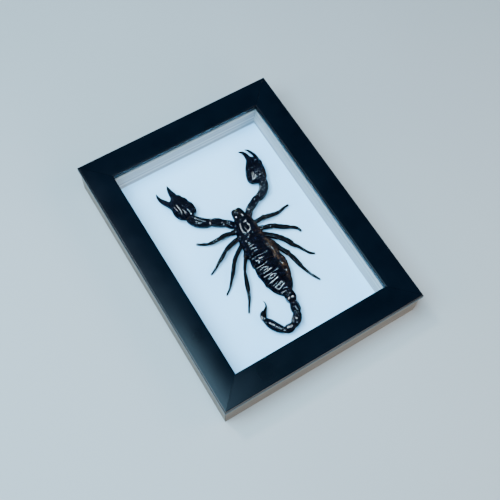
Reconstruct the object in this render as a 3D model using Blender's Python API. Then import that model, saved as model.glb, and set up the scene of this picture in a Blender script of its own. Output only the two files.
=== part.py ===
"""Framed scorpion specimen: a glazed box with a black front frame, a white lining and one dried scorpion.

Units are metres with +Z up; the driving dimensions below are in millimetres and MM turns them into metres.
The box lies on its back. The origin is the middle of the back edge's plane, the glass looks up, and the
box's top edge, where the scorpion's head points, is at +Y.
"""

import math

import bmesh
import bpy
from mathutils import Matrix, Vector

MM = 0.001
GAP = 0.3                      # clearance kept between pieces that touch
WELD = 0.00001                 # metres, welds the caps of curve meshes

# Box and frame
GLASS_SIZE = (130.0, 180.0)    # a standard 13 x 18 cm pane
GLASS_THICK = 1.8
LIP = 4.5                      # how far the front frame covers the glass on each side
RAIL_FACE = 19.5               # width of the black mouldings
DEPTH = 30.0                   # back edge to the crown of the front frame
RAIL_THICK = 4.8               # at the crown of its face
RAIL_CROWN = 0.5               # how far the face rises between its arrises
RAIL_ARRIS = 1.2
SIDE_INSET = 1.0               # the wooden box sits in from the front frame's outer edge
SIDE_CLEARANCE = 0.5           # round the glass, inside the wooden box
SIDE_ARRIS = 0.4
LINER_THICK = 4.6
BACKING_TOP = 5.8              # the white floor under the scorpion
BACKING_THICK = 1.9
PANEL_THICK = 2.0
TAB_SIZE = (8.0, 14.0, 0.5)    # width, reach and thickness of the bent metal points
TAB_PLACES = ((-1, -0.6), (-1, 0.6), (1, -0.6), (1, 0.6))
HANGER_SIZE = (44.0, 9.0, 0.6)
HANGER_TEETH = 11
HANGER_TOOTH = 1.6
HANGER_FROM_TOP = 26.0

SIGHT = (GLASS_SIZE[0] - 2 * LIP, GLASS_SIZE[1] - 2 * LIP)
OUTER = (SIGHT[0] + 2 * RAIL_FACE, SIGHT[1] + 2 * RAIL_FACE)
RAIL_BOTTOM = DEPTH - RAIL_THICK
SIDE_TOP = RAIL_BOTTOM - GAP
SIDE_OUTER = (OUTER[0] - 2 * SIDE_INSET, OUTER[1] - 2 * SIDE_INSET)
SIDE_INNER = (GLASS_SIZE[0] + 2 * SIDE_CLEARANCE, GLASS_SIZE[1] + 2 * SIDE_CLEARANCE)
SIDE_THICK = (SIDE_OUTER[0] - SIDE_INNER[0]) / 2
GLASS_TOP = SIDE_TOP
LINER_TOP = GLASS_TOP - GLASS_THICK - GAP
LINER_BOTTOM = BACKING_TOP + GAP
PANEL_TOP = BACKING_TOP - BACKING_THICK - GAP
PANEL_BOTTOM = PANEL_TOP - PANEL_THICK

# Scorpion, lying belly down on the white board. Points are (x, y, z) of the middle of each section.
BELLY = BACKING_TOP + GAP
LIMB_SIDES = 12
BODY_SIDES = 24
HAND_SIDES = 16
ROUNDNESS = 2.3                # of trunk and hand sections: 2 is an ellipse, more is boxier
TUBE_RESOLUTION = 2            # eight sides round each leg and finger

# Trunk sections from head to tail: y, left edge, right edge, top.
CARAPACE = (
    (18.6, 1.6, 12.2, 12.0),
    (17.0, -0.2, 13.6, 13.2),
    (12.0, -1.8, 14.5, 14.2),
    (6.0, -3.3, 14.9, 14.4),
    (1.0, -4.2, 15.1, 14.2),
)
# Tergites: y of the front and rear edge, then the left edge, right edge and top at the rear edge.
TERGITES = (
    (1.0, -2.4, -4.4, 14.8, 14.5),
    (-2.4, -7.2, -4.8, 14.2, 14.8),
    (-7.2, -13.6, -5.2, 13.6, 15.1),
    (-13.6, -21.8, -6.0, 13.2, 15.3),
    (-21.8, -29.8, -6.4, 13.4, 15.2),
    (-29.8, -38.4, -5.6, 14.2, 14.8),
)
TERGITE_STEP = 0.45            # how far each plate's rear edge stands over the next
LAST_TERGITE = (
    (-40.5, -4.5, 14.3, 14.4),
    (-44.0, -3.2, 13.3, 13.8),
    (-47.4, -0.9, 11.2, 13.2),
    (-49.6, 1.3, 9.0, 12.6),
)
# The soft flank that bulges out beside the plates on the right: y, x, half width, half height.
FLANK = (
    (-3.0, 12.0, 2.2, 2.0),
    (-8.0, 12.6, 4.2, 3.3),
    (-16.0, 13.0, 4.2, 3.7),
    (-21.4, 12.6, 3.9, 3.5),
    (-26.5, 13.2, 4.6, 3.9),
    (-33.0, 12.6, 4.0, 3.6),
    (-39.0, 11.6, 3.2, 3.0),
    (-43.0, 10.4, 2.2, 2.2),
)
FLANK_HEIGHT = 10.4

# Legs: points from the body out to the foot, each (x, y, z, radius).
LEGS = {
    "right_1": (
        (12.1, 10.6, 9.0, 1.7), (15.1, 10.1, 9.2, 1.6), (19.6, 9.9, 9.9, 1.5), (22.8, 9.6, 10.2, 1.65),
        (27.9, 8.6, 9.8, 1.4), (34.9, 8.5, 8.2, 0.98), (39.9, 9.9, 7.4, 0.85), (44.3, 10.6, 6.9, 0.6),
    ),
    "right_2": (
        (12.1, 5.3, 8.7, 1.6), (14.1, 4.4, 8.9, 1.5), (17.7, 2.9, 9.6, 1.5), (24.1, 0.1, 10.6, 1.65),
        (29.9, -4.0, 10.0, 1.5), (35.1, -6.6, 8.8, 1.05), (37.8, -8.1, 8.0, 1.0),
        (39.9, -10.1, 7.3, 0.8), (40.9, -12.7, 6.9, 0.6),
    ),
    "right_3": (
        (12.0, 1.4, 8.8, 1.8), (14.2, -0.6, 8.9, 1.75), (17.2, -3.8, 9.6, 1.75),
        (23.0, -10.2, 10.8, 1.8), (26.4, -14.8, 10.4, 1.7), (28.9, -19.6, 9.6, 1.55),
        (31.9, -23.2, 8.6, 1.0), (34.7, -27.8, 7.6, 0.75), (36.7, -30.8, 7.2, 0.8),
        (39.7, -33.0, 6.9, 0.5),
    ),
    "right_4": (
        (12.6, -2.7, 8.8, 1.8), (14.4, -5.7, 8.9, 1.7), (17.0, -10.8, 9.3, 1.55),
        (19.0, -17.3, 10.0, 1.5), (22.3, -25.2, 10.4, 1.6), (23.3, -29.5, 10.2, 1.6),
        (25.0, -37.5, 9.4, 1.2), (27.6, -44.6, 8.0, 0.7), (29.6, -48.3, 7.3, 0.75),
        (31.7, -52.1, 6.9, 0.5),
    ),
    "left_1": (
        (-0.5, 10.3, 9.2, 2.2), (-3.3, 10.4, 9.3, 1.8), (-5.4, 10.7, 9.6, 1.55),
        (-10.9, 11.4, 10.2, 1.65), (-14.5, 11.3, 10.2, 1.5), (-18.9, 11.4, 9.6, 1.3),
        (-23.6, 12.3, 8.4, 1.0), (-28.2, 14.9, 7.4, 0.8), (-31.2, 17.1, 6.9, 0.6),
    ),
    "left_2": (
        (-0.7, 5.1, 8.8, 1.8), (-3.2, 4.6, 9.0, 1.7), (-7.0, 3.7, 9.8, 1.7), (-11.5, 2.4, 10.5, 1.6),
        (-16.2, 0.6, 10.6, 1.35), (-20.3, -2.1, 10.2, 1.35), (-24.7, -4.3, 9.2, 1.0),
        (-28.6, -6.6, 8.0, 0.75), (-33.9, -9.0, 6.9, 0.55),
    ),
    "left_3": (
        (-1.1, 1.5, 8.8, 1.7), (-3.7, -1.0, 8.9, 1.6), (-8.3, -4.2, 9.8, 1.5),
        (-12.6, -7.5, 10.6, 1.4), (-16.1, -10.9, 10.8, 1.45), (-19.0, -14.8, 10.4, 1.45),
        (-21.8, -18.2, 9.6, 1.3), (-24.6, -21.3, 8.6, 0.95), (-27.5, -24.5, 7.7, 0.7),
        (-32.3, -28.2, 6.9, 0.5),
    ),
    "left_4": (
        (-0.8, -3.4, 8.7, 1.9), (-3.5, -7.4, 8.9, 1.9), (-6.4, -11.2, 9.4, 1.6),
        (-10.1, -16.1, 10.1, 1.1), (-12.6, -20.1, 10.5, 1.0), (-14.6, -24.8, 10.4, 1.4),
        (-16.5, -29.5, 9.9, 1.5), (-18.6, -35.0, 9.0, 1.25), (-20.8, -39.8, 8.0, 0.9),
        (-23.4, -43.7, 7.3, 0.65), (-25.9, -47.7, 6.9, 0.5),
    ),
}
# Stout segments: start and end of the middle line, half width, half height and the sideways bow.
ARMS = {
    "left_trochanter": ((0.9, 14.2, 9.4), (-4.6, 19.4, 9.4), 2.9, 2.8, 0.0),
    "left_femur": ((-3.0, 18.6, 9.5), (-13.9, 26.1, 9.9), 3.05, 2.9, 0.0),
    "left_patella": ((-12.9, 25.5, 9.9), (-26.3, 37.2, 10.0), 3.7, 3.3, -2.2),
    "right_trochanter": ((11.8, 15.2, 9.4), (15.5, 20.0, 9.4), 2.9, 2.8, 0.0),
    "right_femur": ((13.9, 19.5, 9.4), (26.9, 26.5, 9.9), 3.0, 2.9, 0.0),
    "right_patella": ((25.9, 25.4, 9.9), (37.4, 36.8, 10.0), 3.55, 3.3, 2.8),
}
# Pincer hands: y, inner or left edge, outer or right edge, half height.
HANDS = {
    "left": ((36.8, -29.2, -22.6, 2.1), (38.6, -31.4, -18.6, 3.0), (40.6, -32.8, -17.6, 3.8),
             (44.0, -33.9, -17.6, 4.2), (48.0, -33.8, -18.5, 4.0), (52.0, -33.4, -20.2, 3.5),
             (55.0, -32.0, -21.6, 2.9), (57.4, -30.0, -23.0, 2.2)),
    "right": ((36.4, 33.4, 41.0, 2.1), (38.2, 29.2, 42.5, 3.0), (40.2, 28.0, 43.2, 3.7),
              (43.6, 28.0, 44.1, 4.2), (48.0, 29.6, 45.0, 4.1), (52.0, 31.7, 45.4, 3.6),
              (55.2, 34.1, 44.6, 3.0), (57.6, 36.0, 41.6, 2.2)),
}
HAND_HEIGHT = 10.2
# Fingers, with points as the legs': the fixed one grows from the hand, the other hinges outside it.
FINGERS = {
    "left_fixed": (
        (-27.0, 54.5, 10.0, 3.0), (-26.9, 59.0, 9.8, 2.6), (-27.2, 62.6, 9.6, 1.95),
        (-27.1, 65.8, 9.4, 1.25), (-26.8, 68.9, 9.2, 0.3),
    ),
    "left_movable": (
        (-31.0, 50.3, 9.8, 2.7), (-33.4, 54.5, 9.6, 2.2), (-35.7, 58.4, 9.4, 1.9),
        (-37.0, 61.6, 9.2, 1.35), (-37.3, 64.3, 9.1, 0.9), (-36.9, 66.9, 9.0, 0.3),
    ),
    "right_fixed": (
        (38.9, 55.0, 10.0, 2.9), (38.3, 59.0, 9.8, 2.1), (38.1, 62.2, 9.6, 1.6),
        (37.3, 64.8, 9.4, 1.15), (34.7, 67.3, 9.2, 0.3),
    ),
    "right_movable": (
        (43.1, 51.5, 9.8, 2.2), (43.9, 56.0, 9.6, 1.7), (43.8, 59.6, 9.4, 1.25),
        (43.1, 62.4, 9.2, 1.0), (42.1, 64.8, 9.1, 0.75), (40.2, 66.7, 9.0, 0.3),
    ),
}
# Chelicerae: the two blunt mouth parts in front of the carapace, as the stout segments.
CHELICERAE = (
    ((4.3, 15.5, 10.6), (5.0, 25.9, 10.2), 2.65, 3.1, 0.0),
    ((9.4, 15.5, 10.6), (8.7, 26.0, 10.2), 2.65, 3.1, 0.0),
)
EYE_MOUND = ((6.1, 9.6, 14.0), (1.5, 3.2, 0.9))
TAIL = (
    ((5.4, -48.0, 10.2), (4.5, -57.9, 10.0), 3.95, 3.6, 0.0),
    ((5.1, -57.0, 10.0), (2.3, -66.4, 9.9), 3.6, 3.4, 0.0),
    ((2.9, -64.9, 9.9), (-4.9, -72.6, 9.8), 3.5, 3.3, -1.1),
    ((-4.0, -72.1, 9.8), (-11.9, -72.4, 9.7), 3.2, 3.0, -0.5),
    ((-11.3, -72.9, 9.7), (-19.6, -57.9, 9.6), 3.1, 3.0, -1.1),
)
VESICLE = ((-19.8, -59.2, 9.6), (-16.4, -52.6, 9.3), 2.45, 2.5, -0.95)
STING = (
    (-17.3, -54.2, 9.4, 1.6),
    (-15.1, -52.1, 9.3, 1.15),
    (-13.5, -50.3, 9.2, 0.75),
    (-12.7, -48.3, 9.1, 0.48),
    (-12.7, -46.9, 9.0, 0.35),
    (-13.2, -45.6, 9.0, 0.15),
)
# Share of a segment's full section at steps along it. Limbs are pinched at both joints, tail segments bulge
# between them, and the chelicerae end in a round front.
LIMB_STEPS = ((0.0, 0.5), (0.06, 0.8), (0.3, 0.93), (0.62, 1.0), (0.9, 0.93), (1.0, 0.6))
TAIL_STEPS = ((0.0, 0.45), (0.06, 0.7), (0.25, 0.9), (0.5, 1.0), (0.74, 0.94), (0.92, 0.7), (1.0, 0.48))
CHELICERA_STEPS = ((0.0, 0.85), (0.35, 1.0), (0.62, 1.0), (0.82, 0.86), (0.94, 0.6), (1.0, 0.25))


def clear_scene():
    """Start from an empty scene."""
    for obj in list(bpy.data.objects):
        bpy.data.objects.remove(obj, do_unlink=True)


def make_collection(name):
    collection = bpy.data.collections.new(name)
    bpy.context.scene.collection.children.link(collection)
    return collection


def make_material(name, colour, roughness, metallic=0.0, transmission=0.0, coat=0.0):
    material = bpy.data.materials.new(name)
    material.use_nodes = True
    shader = material.node_tree.nodes["Principled BSDF"]
    shader.inputs["Base Color"].default_value = (*colour, 1.0)
    shader.inputs["Roughness"].default_value = roughness
    shader.inputs["Metallic"].default_value = metallic
    shader.inputs["Transmission Weight"].default_value = transmission
    shader.inputs["Coat Weight"].default_value = coat
    return material


def add_object(name, mesh, collection, material=None):
    obj = bpy.data.objects.new(name, mesh)
    collection.objects.link(obj)
    if material:
        mesh.materials.clear()
        mesh.materials.append(material)
    return obj


def mesh_from(bm, name):
    mesh = bpy.data.meshes.new(name)
    bm.to_mesh(mesh)
    bm.free()
    return mesh


def evaluated_mesh(obj):
    """The object's mesh as the viewport shows it, with curves turned into welded meshes."""
    bpy.context.view_layer.update()
    mesh = bpy.data.meshes.new_from_object(obj.evaluated_get(bpy.context.evaluated_depsgraph_get()))
    mesh.transform(obj.matrix_world)
    bm = bmesh.new()
    bm.from_mesh(mesh)
    bmesh.ops.remove_doubles(bm, verts=bm.verts, dist=WELD)
    bmesh.ops.recalc_face_normals(bm, faces=bm.faces)
    bm.to_mesh(mesh)
    bm.free()
    return mesh


def box_mesh(name, low, high):
    """A box between two corners given in millimetres."""
    bm = bmesh.new()
    bmesh.ops.create_cube(bm, size=1.0)
    size = [(b - a) * MM for a, b in zip(low, high)]
    middle = [(a + b) / 2 * MM for a, b in zip(low, high)]
    bmesh.ops.transform(bm, matrix=Matrix.LocRotScale(Vector(middle), None, Vector(size)), verts=bm.verts)
    return mesh_from(bm, name)


def arc(centre, radius, start, end, steps):
    """Points on an arc, with angles in degrees."""
    angles = [math.radians(start + (end - start) * i / steps) for i in range(steps + 1)]
    return [(centre[0] + radius * math.cos(a), centre[1] + radius * math.sin(a)) for a in angles]


def rail_profile():
    """Section of a black moulding: x runs in from the outer edge, y up from its back."""
    r, crown_steps = RAIL_ARRIS, 4
    edge = RAIL_THICK - RAIL_CROWN
    points = [(0.0, 0.0), (RAIL_FACE, 0.0)]
    points += arc((RAIL_FACE - r, edge - r), r, 0, 70, 3)
    inner, outer = RAIL_FACE - 1.5 * r, 1.5 * r
    for i in range(crown_steps + 1):
        share = i / crown_steps
        rise = RAIL_CROWN * (1 - (2 * share - 1) ** 2)
        points.append((inner + (outer - inner) * share, edge + rise))
    points += arc((r, edge - r), r, 110, 180, 3)
    return points


def side_profile():
    """Section of a wooden box side, with its back arris eased."""
    c, inner = SIDE_ARRIS, SIDE_THICK
    return [(c, 0.0), (inner - c, 0.0), (inner, c), (inner, SIDE_TOP), (0.0, SIDE_TOP), (0.0, c)]


def curve_mesh(curve, place=Matrix.Identity(4)):
    """The mesh of a curve put at a place."""
    run = bpy.data.objects.new(curve.name, curve)
    bpy.context.scene.collection.objects.link(run)
    run.matrix_world = place
    mesh = evaluated_mesh(run)
    bpy.data.objects.remove(run)
    return mesh


def extruded(name, outline, thickness, place):
    """A closed outline in millimetres, extruded about its own plane and put at a place."""
    curve = bpy.data.curves.new(name, "CURVE")
    curve.dimensions = "2D"
    curve.fill_mode = "BOTH"
    curve.extrude = thickness / 2 * MM
    spline = curve.splines.new("POLY")
    spline.points.add(len(outline) - 1)
    for point, (x, y) in zip(spline.points, outline):
        point.co = (x * MM, y * MM, 0.0, 1.0)
    spline.use_cyclic_u = True
    return curve_mesh(curve, place)


def mitred_bar(name, profile, length, width, base, turn):
    """A profile run along X at the frame's lower edge, mitred at both ends, then turned round Z.

    length and width are the outer sizes along and across the bar, in millimetres.
    """
    mesh = extruded(name, profile, length, Matrix((
        (0.0, 0.0, 1.0, 0.0),
        (1.0, 0.0, 0.0, -width / 2 * MM),
        (0.0, 1.0, 0.0, base * MM),
        (0.0, 0.0, 0.0, 1.0),
    )))
    bm = bmesh.new()
    bm.from_mesh(mesh)
    for end in (-1, 1):
        corner = Vector((end * (length / 2 - GAP / 2 * math.sqrt(2)), -width / 2, base)) * MM
        normal = Vector((end, 1.0, 0.0)).normalized()
        geometry = bm.verts[:] + bm.edges[:] + bm.faces[:]
        cut = bmesh.ops.bisect_plane(
            bm, geom=geometry, dist=1e-7, plane_co=corner, plane_no=normal, clear_outer=True)
        rim = [item for item in cut["geom_cut"] if isinstance(item, bmesh.types.BMEdge)]
        bmesh.ops.edgeloop_fill(bm, edges=rim)
    bmesh.ops.recalc_face_normals(bm, faces=bm.faces)
    bmesh.ops.rotate(bm, verts=bm.verts, cent=(0, 0, 0), matrix=Matrix.Rotation(turn, 3, "Z"))
    bm.to_mesh(mesh)
    bm.free()
    return mesh


def four_sides(size):
    """Name, length, width and turn of the four sides of a rectangle of this outer size."""
    for index, name in enumerate(("bottom", "right", "top", "left")):
        along, across = size if index % 2 == 0 else size[::-1]
        yield name, along, across, math.radians(90 * index)


def build_front_rails(collection):
    material = make_material("black_paint", (0.012, 0.015, 0.02), 0.42, coat=0.15)
    for side, length, width, turn in four_sides(OUTER):
        mesh = mitred_bar("front_rail_" + side, rail_profile(), length, width, RAIL_BOTTOM, turn)
        mesh.shade_smooth()
        mesh.set_sharp_from_angle(angle=math.radians(35))
        add_object("front_rail_" + side, mesh, collection, material)


def build_box_sides(collection):
    material = make_material("pale_wood", (0.62, 0.52, 0.42), 0.6)
    for side, length, width, turn in four_sides(SIDE_OUTER):
        mesh = mitred_bar("box_side_" + side, side_profile(), length, width, 0.0, turn)
        add_object("box_side_" + side, mesh, collection, material)


def build_glass(collection):
    material = make_material("clear_glass", (1.0, 1.0, 1.0), 0.02, transmission=1.0)
    half_x, half_y = GLASS_SIZE[0] / 2, GLASS_SIZE[1] / 2
    mesh = box_mesh("glass_pane", (-half_x, -half_y, GLASS_TOP - GLASS_THICK), (half_x, half_y, GLASS_TOP))
    add_object("glass_pane", mesh, collection, material)


def build_liners(collection):
    """White walls: the long pair runs the whole height, the short pair stands between them."""
    material = make_material("white_lining", (0.86, 0.88, 0.9), 0.7)
    half_x, half_y = SIGHT[0] / 2, SIGHT[1] / 2
    for side, sign in (("left", -1), ("right", 1)):
        edges = sorted((sign * half_x, sign * (half_x + LINER_THICK)))
        low = (edges[0], -half_y - LINER_THICK, LINER_BOTTOM)
        high = (edges[1], half_y + LINER_THICK, LINER_TOP)
        add_object("liner_" + side, box_mesh("liner_" + side, low, high), collection, material)
    for side, sign in (("bottom", -1), ("top", 1)):
        edges = sorted((sign * half_y, sign * (half_y + LINER_THICK)))
        low = (-half_x + GAP, edges[0], LINER_BOTTOM)
        high = (half_x - GAP, edges[1], LINER_TOP)
        add_object("liner_" + side, box_mesh("liner_" + side, low, high), collection, material)


def build_back(collection):
    white = make_material("white_board", (0.86, 0.9, 0.93), 0.75)
    hardboard = make_material("hardboard", (0.3, 0.19, 0.11), 0.8)
    half_x, half_y = GLASS_SIZE[0] / 2, GLASS_SIZE[1] / 2
    board = ("backing_board", BACKING_TOP - BACKING_THICK, BACKING_TOP, white)
    panel = ("back_panel", PANEL_BOTTOM, PANEL_TOP, hardboard)
    for name, low, high, material in (board, panel):
        mesh = box_mesh(name, (-half_x, -half_y, low), (half_x, half_y, high))
        add_object(name, mesh, collection, material)


def plate_mesh(name, outline, thickness, top):
    """A flat plate cut to an outline in millimetres, with its upper face at the height top."""
    return extruded(name, outline, thickness, Matrix.Translation((0.0, 0.0, (top - thickness / 2) * MM)))


def build_tabs(collection):
    """Six bent points: two on each long side and one on each short side, their tips over the panel."""
    steel = make_material("tab_steel", (0.55, 0.56, 0.58), 0.35, metallic=1.0)
    width, reach, thickness = TAB_SIZE
    tip = [(-width / 2, 0.0), (width / 2, 0.0), (width / 2, reach * 0.7)]
    tip += arc((0.0, reach - width / 2), width / 2, 20, 160, 6)
    tip.append((-width / 2, reach * 0.7))
    places = []
    for side, share in TAB_PLACES:
        places.append((side * (SIDE_INNER[0] / 2 - GAP), share * SIGHT[1] / 2, math.radians(90 * side)))
    for side in (-1, 1):
        turn = 0.0 if side < 0 else math.pi
        places.append((0.0, side * (SIDE_INNER[1] / 2 - GAP), turn))
    for number, (x, y, turn) in enumerate(places, 1):
        name = "retaining_tab_%d" % number
        mesh = plate_mesh(name, tip, thickness, PANEL_BOTTOM - GAP)
        mesh.transform(Matrix.Translation((x * MM, y * MM, 0.0)) @ Matrix.Rotation(turn, 4, "Z"))
        add_object(name, mesh, collection, steel)


def build_hanger(collection):
    """A saw-tooth plate under the panel, near the box's top edge, its teeth facing down the wall."""
    brass = make_material("hanger_brass", (0.72, 0.55, 0.27), 0.35, metallic=1.0)
    width, height, thickness = HANGER_SIZE
    span = width * 0.7
    middle = GLASS_SIZE[1] / 2 - HANGER_FROM_TOP
    outline = [(-width / 2, middle), (-span / 2, middle - height / 2)]
    pitch = span / HANGER_TEETH
    for i in range(HANGER_TEETH):
        left = -span / 2 + i * pitch
        outline.append((left + pitch / 2, middle - height / 2 + HANGER_TOOTH))
        outline.append((left + pitch, middle - height / 2))
    outline += [(width / 2, middle), (span / 2, middle + height / 2), (-span / 2, middle + height / 2)]
    mesh = plate_mesh("hanger_plate", outline, thickness, PANEL_BOTTOM - GAP)
    add_object("hanger_plate", mesh, collection, brass)


def section(centre, across, up, half_width, rise, drop, squareness, sides):
    """One ring of a loft: a superellipse in the plane of across and up, given in millimetres."""
    points = []
    for i in range(sides):
        angle = 2 * math.pi * (i + 0.5) / sides
        c, s = math.cos(angle), math.sin(angle)
        x = math.copysign(abs(c) ** (2 / squareness), c) * half_width
        z = math.copysign(abs(s) ** (2 / squareness), s) * (rise if s > 0 else drop)
        points.append((centre + across * x + up * z) * MM)
    return points


def loft(name, rings):
    """A closed mesh through rings that all have the same number of points, with flat ends."""
    bm = bmesh.new()
    rows = [[bm.verts.new(point) for point in ring] for ring in rings]
    sides = len(rows[0])
    for first, second in zip(rows, rows[1:]):
        for i in range(sides):
            j = (i + 1) % sides
            bm.faces.new((first[i], first[j], second[j], second[i]))
    bm.faces.new(rows[0])
    bm.faces.new(rows[-1])
    bmesh.ops.recalc_face_normals(bm, faces=bm.faces)
    return mesh_from(bm, name)


def upright_section(y, left, right, top, bottom, squareness, sides):
    """A ring across the trunk or a hand, standing in the XZ plane; its widest line is 45% of the way up."""
    waist = bottom + 0.45 * (top - bottom)
    centre = Vector(((left + right) / 2, y, waist))
    across, up = Vector((1, 0, 0)), Vector((0, 0, 1))
    half = (right - left) / 2
    return section(centre, across, up, half, top - waist, waist - bottom, squareness, sides)


def trunk():
    """Carapace, six stepped plates and the tapering seventh, from head to tail."""
    rings = list(CARAPACE)
    previous = CARAPACE[-1]
    step = TERGITE_STEP
    for front, rear, left, right, top in TERGITES:
        rings.append((front - 0.25, previous[1] + step, previous[2] - step, previous[3] - step))
        rings.append(((front + rear) / 2, left, right, top - 0.15))
        rings.append((rear, left, right, top))
        previous = rings[-1]
    rings.append((previous[0] - 0.25, previous[1] + step, previous[2] - step, previous[3] - step))
    rings += LAST_TERGITE
    return loft("trunk", [
        upright_section(y, left, right, top, BELLY, ROUNDNESS, BODY_SIDES) for y, left, right, top in rings
    ])


def flank():
    across, up = Vector((1, 0, 0)), Vector((0, 0, 1))
    rings = []
    for y, x, half_width, half_height in FLANK:
        centre = Vector((x, y, FLANK_HEIGHT))
        rings.append(section(centre, across, up, half_width, half_height, half_height, 2.0, LIMB_SIDES))
    return loft("flank", rings)


def segment(name, start, end, half_width, half_height, bow, steps=LIMB_STEPS, squareness=2.7):
    """A stout limb or tail segment: a barrel between two joints on a line that bows sideways."""
    start, end, up = Vector(start), Vector(end), Vector((0, 0, 1))
    chord = end - start
    bend = (start + end) / 2 + chord.cross(up).normalized() * 2 * bow
    rings = []
    for share, size in steps:
        centre = start.lerp(bend, share).lerp(bend.lerp(end, share), share)
        along = (bend - start).lerp(end - bend, share).normalized()
        across = along.cross(up).normalized()
        rise = half_height * size
        upward = across.cross(along)
        rings.append(section(centre, across, upward, half_width * size, rise, rise, squareness, LIMB_SIDES))
    return loft(name, rings)


def hand(name, stations):
    rings = []
    for y, left, right, half in stations:
        top, bottom = HAND_HEIGHT + half, HAND_HEIGHT - half
        rings.append(upright_section(y, left, right, top, bottom, ROUNDNESS, HAND_SIDES))
    return loft(name, rings)


def tube(name, points):
    """A tapering tube with eight sides through points that carry their own radius."""
    curve = bpy.data.curves.new(name, "CURVE")
    curve.dimensions = "3D"
    curve.fill_mode = "FULL"
    curve.use_fill_caps = True
    curve.bevel_depth = MM
    curve.bevel_resolution = TUBE_RESOLUTION
    spline = curve.splines.new("POLY")
    spline.points.add(len(points) - 1)
    for point, (x, y, z, radius) in zip(spline.points, points):
        point.co = (x * MM, y * MM, z * MM, 1.0)
        point.radius = radius
    return curve_mesh(curve)


def ball(name, centre, half_sizes):
    bm = bmesh.new()
    bmesh.ops.create_uvsphere(bm, u_segments=12, v_segments=8, radius=MM)
    place = Matrix.LocRotScale(Vector(centre) * MM, None, Vector(half_sizes))
    bmesh.ops.transform(bm, matrix=place, verts=bm.verts)
    return mesh_from(bm, name)


def scorpion_parts():
    """Every form of the animal, each a closed mesh that reaches into the one it grows from."""
    yield flank()
    for number, sizes in enumerate(CHELICERAE, 1):
        yield segment("chelicera_%d" % number, *sizes, CHELICERA_STEPS, 2.2)
    yield ball("eye_mound", *EYE_MOUND)
    for name, sizes in ARMS.items():
        yield segment(name, *sizes)
    for name, stations in HANDS.items():
        yield hand(name, stations)
    for name, points in FINGERS.items():
        yield tube(name, points)
    for number, sizes in enumerate(TAIL, 1):
        yield segment("tail_%d" % number, *sizes, TAIL_STEPS)
    yield segment("vesicle", *VESICLE, TAIL_STEPS, 2.1)
    yield tube("sting", STING)
    for name, points in LEGS.items():
        yield tube(name, points)


def build_scorpion(collection, cutters):
    """The whole animal as one closed body: the trunk with every other form joined to it."""
    material = make_material("cuticle", (0.02, 0.025, 0.03), 0.25, coat=0.4)
    body = add_object("scorpion", trunk(), collection, material)
    for mesh in scorpion_parts():
        part = add_object(mesh.name + "_form", mesh, cutters)
        part.hide_render = True
        part.display_type = "WIRE"
        union = body.modifiers.new("join", "BOOLEAN")
        union.operation = "UNION"
        union.solver = "EXACT"
        union.object = part
        joined = evaluated_mesh(body)
        body.modifiers.remove(union)
        body.data = joined
        bpy.data.objects.remove(part)
    body.data.materials.clear()
    body.data.materials.append(material)
    body.data.shade_smooth()
    body.data.set_sharp_from_angle(angle=math.radians(40))


def build():
    clear_scene()
    collection = make_collection("framed_scorpion")
    cutters = make_collection("forms")
    build_front_rails(collection)
    build_box_sides(collection)
    build_glass(collection)
    build_liners(collection)
    build_back(collection)
    build_tabs(collection)
    build_hanger(collection)
    build_scorpion(collection, cutters)


build()
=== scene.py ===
"""Looks of the framed scorpion: camera, light, materials and the detailed animal.

Lengths are in millimetres until a mesh is made; MM turns them into metres. The tables of the animal's
middle lines repeat the ones in the part's source.
"""

import itertools
import math

import bpy
import numpy as np
from mathutils import Matrix, Vector


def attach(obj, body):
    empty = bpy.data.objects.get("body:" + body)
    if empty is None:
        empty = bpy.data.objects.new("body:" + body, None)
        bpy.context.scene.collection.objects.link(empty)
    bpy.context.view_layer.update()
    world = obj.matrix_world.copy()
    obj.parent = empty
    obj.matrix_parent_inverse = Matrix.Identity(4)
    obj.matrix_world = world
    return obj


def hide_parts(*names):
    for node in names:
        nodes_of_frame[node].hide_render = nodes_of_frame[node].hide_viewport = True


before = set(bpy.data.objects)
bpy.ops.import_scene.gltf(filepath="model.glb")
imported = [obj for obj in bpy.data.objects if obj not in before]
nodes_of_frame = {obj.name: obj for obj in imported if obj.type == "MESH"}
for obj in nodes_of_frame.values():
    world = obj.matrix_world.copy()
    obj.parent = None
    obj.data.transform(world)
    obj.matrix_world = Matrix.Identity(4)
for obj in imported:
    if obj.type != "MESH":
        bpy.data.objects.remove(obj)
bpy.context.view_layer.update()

MM = 0.001
BELLY = 6.1
FRAME_SIZE = (160.0, 210.0)
RAIL_FACE = 19.5
RAIL_BOTTOM = 25.2
RAIL_THICK = 4.8
RAIL_CROWN = 0.2
RAIL_ARRIS = 1.2
MITRE_GAP = 0.1


# Camera, floor and light

def add_object(name, data):
    made = bpy.data.objects.new(name, data)
    bpy.context.scene.collection.objects.link(made)
    return made


def add_piece(name, mesh, replaces):
    piece = add_object(name, mesh)
    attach(piece, "root")
    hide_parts(replaces)


def add_camera():
    """The photo's viewpoint, solved from the frame's corners."""
    place = Vector((-0.150216, -0.208326, 0.566415))
    forward = Vector((0.245361, 0.329102, -0.911861))
    right = Vector((0.851507, -0.522782, 0.040443))
    data = bpy.data.cameras.new("camera")
    data.lens, data.sensor_width, data.clip_start = 60.48, 36.0, 0.01
    camera = add_object("camera", data)
    turn = Matrix((right, right.cross(forward), -forward)).transposed()
    camera.matrix_world = Matrix.Translation(place) @ turn.to_4x4()
    bpy.context.scene.camera = camera


def add_light(name, place, size, power, colour):
    """A rectangular light that looks at the origin."""
    data = bpy.data.lights.new(name, "AREA")
    data.shape = "RECTANGLE"
    data.size, data.size_y = size
    data.energy = power
    data.color = colour
    back = Vector(place).normalized()
    side = (Vector((1.0, 0.0, 0.0)) - back * back.x).normalized()
    turn = Matrix((side, back.cross(side), back)).transposed()
    add_object(name, data).matrix_world = Matrix.Translation(place) @ turn.to_4x4()


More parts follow.
